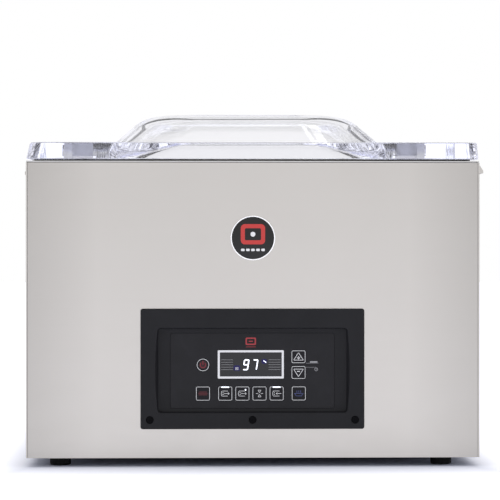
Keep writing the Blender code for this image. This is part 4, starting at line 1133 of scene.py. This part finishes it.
def hinge_spring(node):
    """The coils redrawn with a round wire, on the CAD spring's axis and pitch."""
    wire_radius = 0.0010
    turns = 6
    steps = 40
    wire_sides = 12
    low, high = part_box(node)
    axis_y = (low.y + high.y) / 2
    coil_radius = (high.y - low.y) / 2 - wire_radius
    axis_z = high.z - wire_radius - coil_radius
    start, end = (low.x, high.x) if low.x > 0 else (high.x, low.x)
    inward = wire_radius if end > start else -wire_radius
    start += inward
    end -= inward
    route = [Vector((start, axis_y + coil_radius, low.z))]
    for step in range(steps * turns + 1):
        angle = 2 * math.pi * step / steps
        x = start + (end - start) * step / (steps * turns)
        y = axis_y + coil_radius * math.cos(angle)
        z = axis_z + coil_radius * math.sin(angle)
        route.append(Vector((x, y, z)))
    rings = []
    for i, point in enumerate(route):
        along = (route[min(i + 1, len(route) - 1)] - route[max(i - 1, 0)]).normalized()
        side = along.cross(Vector((1.0, 0.0, 0.0))).normalized()
        up = side.cross(along)
        rings.append([
            point + (side * math.cos(a) + up * math.sin(a)) * wire_radius
            for a in (math.radians(360 / wire_sides * step) for step in range(wire_sides))
        ])
    make_piece(f"{node}_coils", loft(rings), "casing", "bright_steel", (node,), 50)


def fittings():
    for side in ("left", "right"):
        finished(f"hinge_arm_{side}", f"hinge_strap_{side}", 0.0005)
        finished(f"hinge_block_{side}", f"hinge_bracket_{side}", 0.0006)
        finished(f"seal_piston_{side}", f"piston_{side}", 0.0004)
        finished(f"seal_cylinder_{side}", f"piston_housing_{side}", 0.0005)
        hinge_spring(f"hinge_spring_{side}")
    for row in FITTINGS:
        finished(*row)


def inner_works():
    """What shows only through the vents, or not at all, keeps its CAD shape, with a finish."""
    for node in (
        "control_board", "pump_body", "pump_motor", "pump_fan_cowl", "pump_rotor", "pump_sight_glass",
        "exhaust_filter", "seal_transformer", "vacuum_valve", "vacuum_hose",
    ):
        data = frame["nodes"][node].data
        data.materials.clear()
        data.materials.append(MATERIALS[NODE_SLOT[node]])


# Stage ----------------------------------------------------

# Surroundings as stops of position and brightness: behind by the sine of the height, and in front
# from left to right
BEHIND = ((0.0, 1.0), (0.115, 1.0), (0.17, 0.95), (0.78, 0.90), (0.90, 0.92), (1.0, 0.92))
BEHIND_TINT = (0.972, 0.970, 1.0)
BEFORE = ((0.0, 0.66), (0.40, 0.72), (0.52, 1.0), (0.64, 0.76), (1.0, 0.76))
# The front gives way to the back between these shares of +Y
TURN = (-0.25, 0.05)

# A dark arch behind the machine: its stops by the share of +Y, less the flare towards its feet.
# It starts between two heights. The lid's wall shows it as a thin line.
ARCH = ((0.66, 0.0), (0.69, 1.0), (0.745, 1.0), (0.765, 0.0))
ARCH_FLARE = 0.42
ARCH_START = (0.28, 0.36)
ARCH_SHADE = (0.08, 0.08, 0.08)

WHITE = (1.0, 1.0, 1.0)
FLOOR_HALF = 14.0
FLOOR_DROP = 0.0002
# Painted light: the floor's paper glows beyond the object's edges, rising from the first distance to the
# second, so only the ground under and right beside the object keeps its shadow
FLOOR_GLOW = 0.55
GLOW_BESIDE = (-0.015, 0.030)
GLOW_BEFORE = (-0.010, 0.120)


def floor():
    mesh = bmesh.new()
    bmesh.ops.create_grid(mesh, x_segments=1, y_segments=1, size=FLOOR_HALF)
    data = bpy.data.meshes.new("floor")
    mesh.to_mesh(data)
    mesh.free()
    tree = Tree("floor_paper", specular=0.05, roughness=0.9)
    paper = tree.noise(tree.position(), 3.0, 3.0, 0.5)
    tree.set("base_color", tree.mix(paper, (0.80, 0.82, 0.93), (0.83, 0.85, 0.95)))
    x, y, _ = tree.axes(tree.position())
    # Painted light: the floor's glow grows with distance beyond the object's edges
    glows = []
    for place, edge, (start, end) in ((x, CAD_HIGH.x, GLOW_BESIDE), (y, CAD_HIGH.y, GLOW_BEFORE)):
        beyond = tree.calculate("SUBTRACT", tree.calculate("ABSOLUTE", place), edge)
        glows.append(tree.spread(beyond, 0.0, FLOOR_GLOW, start, end))
    tree.set("emission_color", WHITE)
    tree.set("emission_strength", tree.calculate("MAXIMUM", *glows))
    data.materials.append(tree.material)
    obj = bpy.data.objects.new("floor", data)
    obj.location.z = -FLOOR_DROP
    SCENE.collection.objects.link(obj)


def softbox(name, location, target, size, power, color=WHITE):
    light = bpy.data.lights.new(name, "AREA")
    light.shape = "RECTANGLE"
    light.size, light.size_y = size
    light.energy = power
    light.color = color
    obj = bpy.data.objects.new(name, light)
    obj.location = location
    aim = Vector(target) - Vector(location)
    obj.rotation_euler = aim.to_track_quat("-Z", "Y").to_euler()
    SCENE.collection.objects.link(obj)


def lights():
    middle = (0.0, 0.0, 0.18)
    softbox("overhead_softbox", (0.395, 0.12, 2.3), (0.1, 0.0, 0.3), (0.53, 0.22), 1.3)
    softbox("front_left_softbox", (-1.9, -2.2, 1.3), middle, (1.2, 1.6), 12.0, (0.97, 0.98, 1.0))
    softbox("front_right_softbox", (2.1, -2.0, 1.1), middle, (1.2, 1.6), 9.0, (1.0, 0.98, 0.96))


def world():
    """A white backdrop. Its light is paler in front than beside, and behind it has a dark arch."""
    made = bpy.data.worlds.new("studio")
    SCENE.world = made
    made.use_nodes = True
    graph = Graph(made.node_tree)
    source = graph.nodes.new("ShaderNodeTexCoord")
    x, y, z = graph.axes(source.outputs["Generated"])
    flare = graph.calculate("MULTIPLY", graph.calculate("ABSOLUTE", x), ARCH_FLARE)
    arch = graph.ramp(graph.calculate("SUBTRACT", y, flare), ARCH)
    dark = graph.calculate("MULTIPLY", arch, graph.spread(z, 0.0, 1.0, *ARCH_START))
    behind = graph.mix(dark, graph.ramp(z, BEHIND, BEHIND_TINT), ARCH_SHADE)
    before = graph.ramp(graph.spread(x, 0.0, 1.0, -1.0, 1.0), BEFORE)
    studio = graph.mix(graph.spread(y, 0.0, 1.0, *TURN), before, behind)
    seen = graph.nodes.new("ShaderNodeLightPath").outputs["Is Camera Ray"]
    graph.feed(graph.nodes["Background"].inputs["Color"], graph.mix(seen, studio, WHITE))


def camera():
    data = bpy.data.cameras.new("camera")
    data.sensor_width = SENSOR
    data.lens = SENSOR * CAMERA_DISTANCE / VIEW_WIDTH
    data.clip_end = 100.0
    obj = bpy.data.objects.new("camera", data)
    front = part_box("front_panel")[0].y
    obj.location = (CAMERA_X, front - CAMERA_DISTANCE, CAMERA_Z)
    aim = Vector((VIEW_CENTRE_X, front, CAMERA_Z)) - obj.location
    obj.rotation_euler = aim.to_track_quat("-Z", "Y").to_euler()
    SCENE.collection.objects.link(obj)
    SCENE.camera = obj


# Light crosses the thick lid by many inner reflections
MOST_BOUNCES = 128
MOST_LID_BOUNCES = 120

SCENE.view_settings.view_transform = "Standard"
SCENE.cycles.max_bounces = MOST_BOUNCES
SCENE.cycles.glossy_bounces = MOST_LID_BOUNCES
SCENE.cycles.transmission_bounces = MOST_LID_BOUNCES
camera()
world()
lights()
floor()
lid()
gasket()
feet()
badge()
casing()
power_key()
arrow_keys()
row_keys()
key_lamps()
overlay_marks()
display()
fittings()
inner_works()
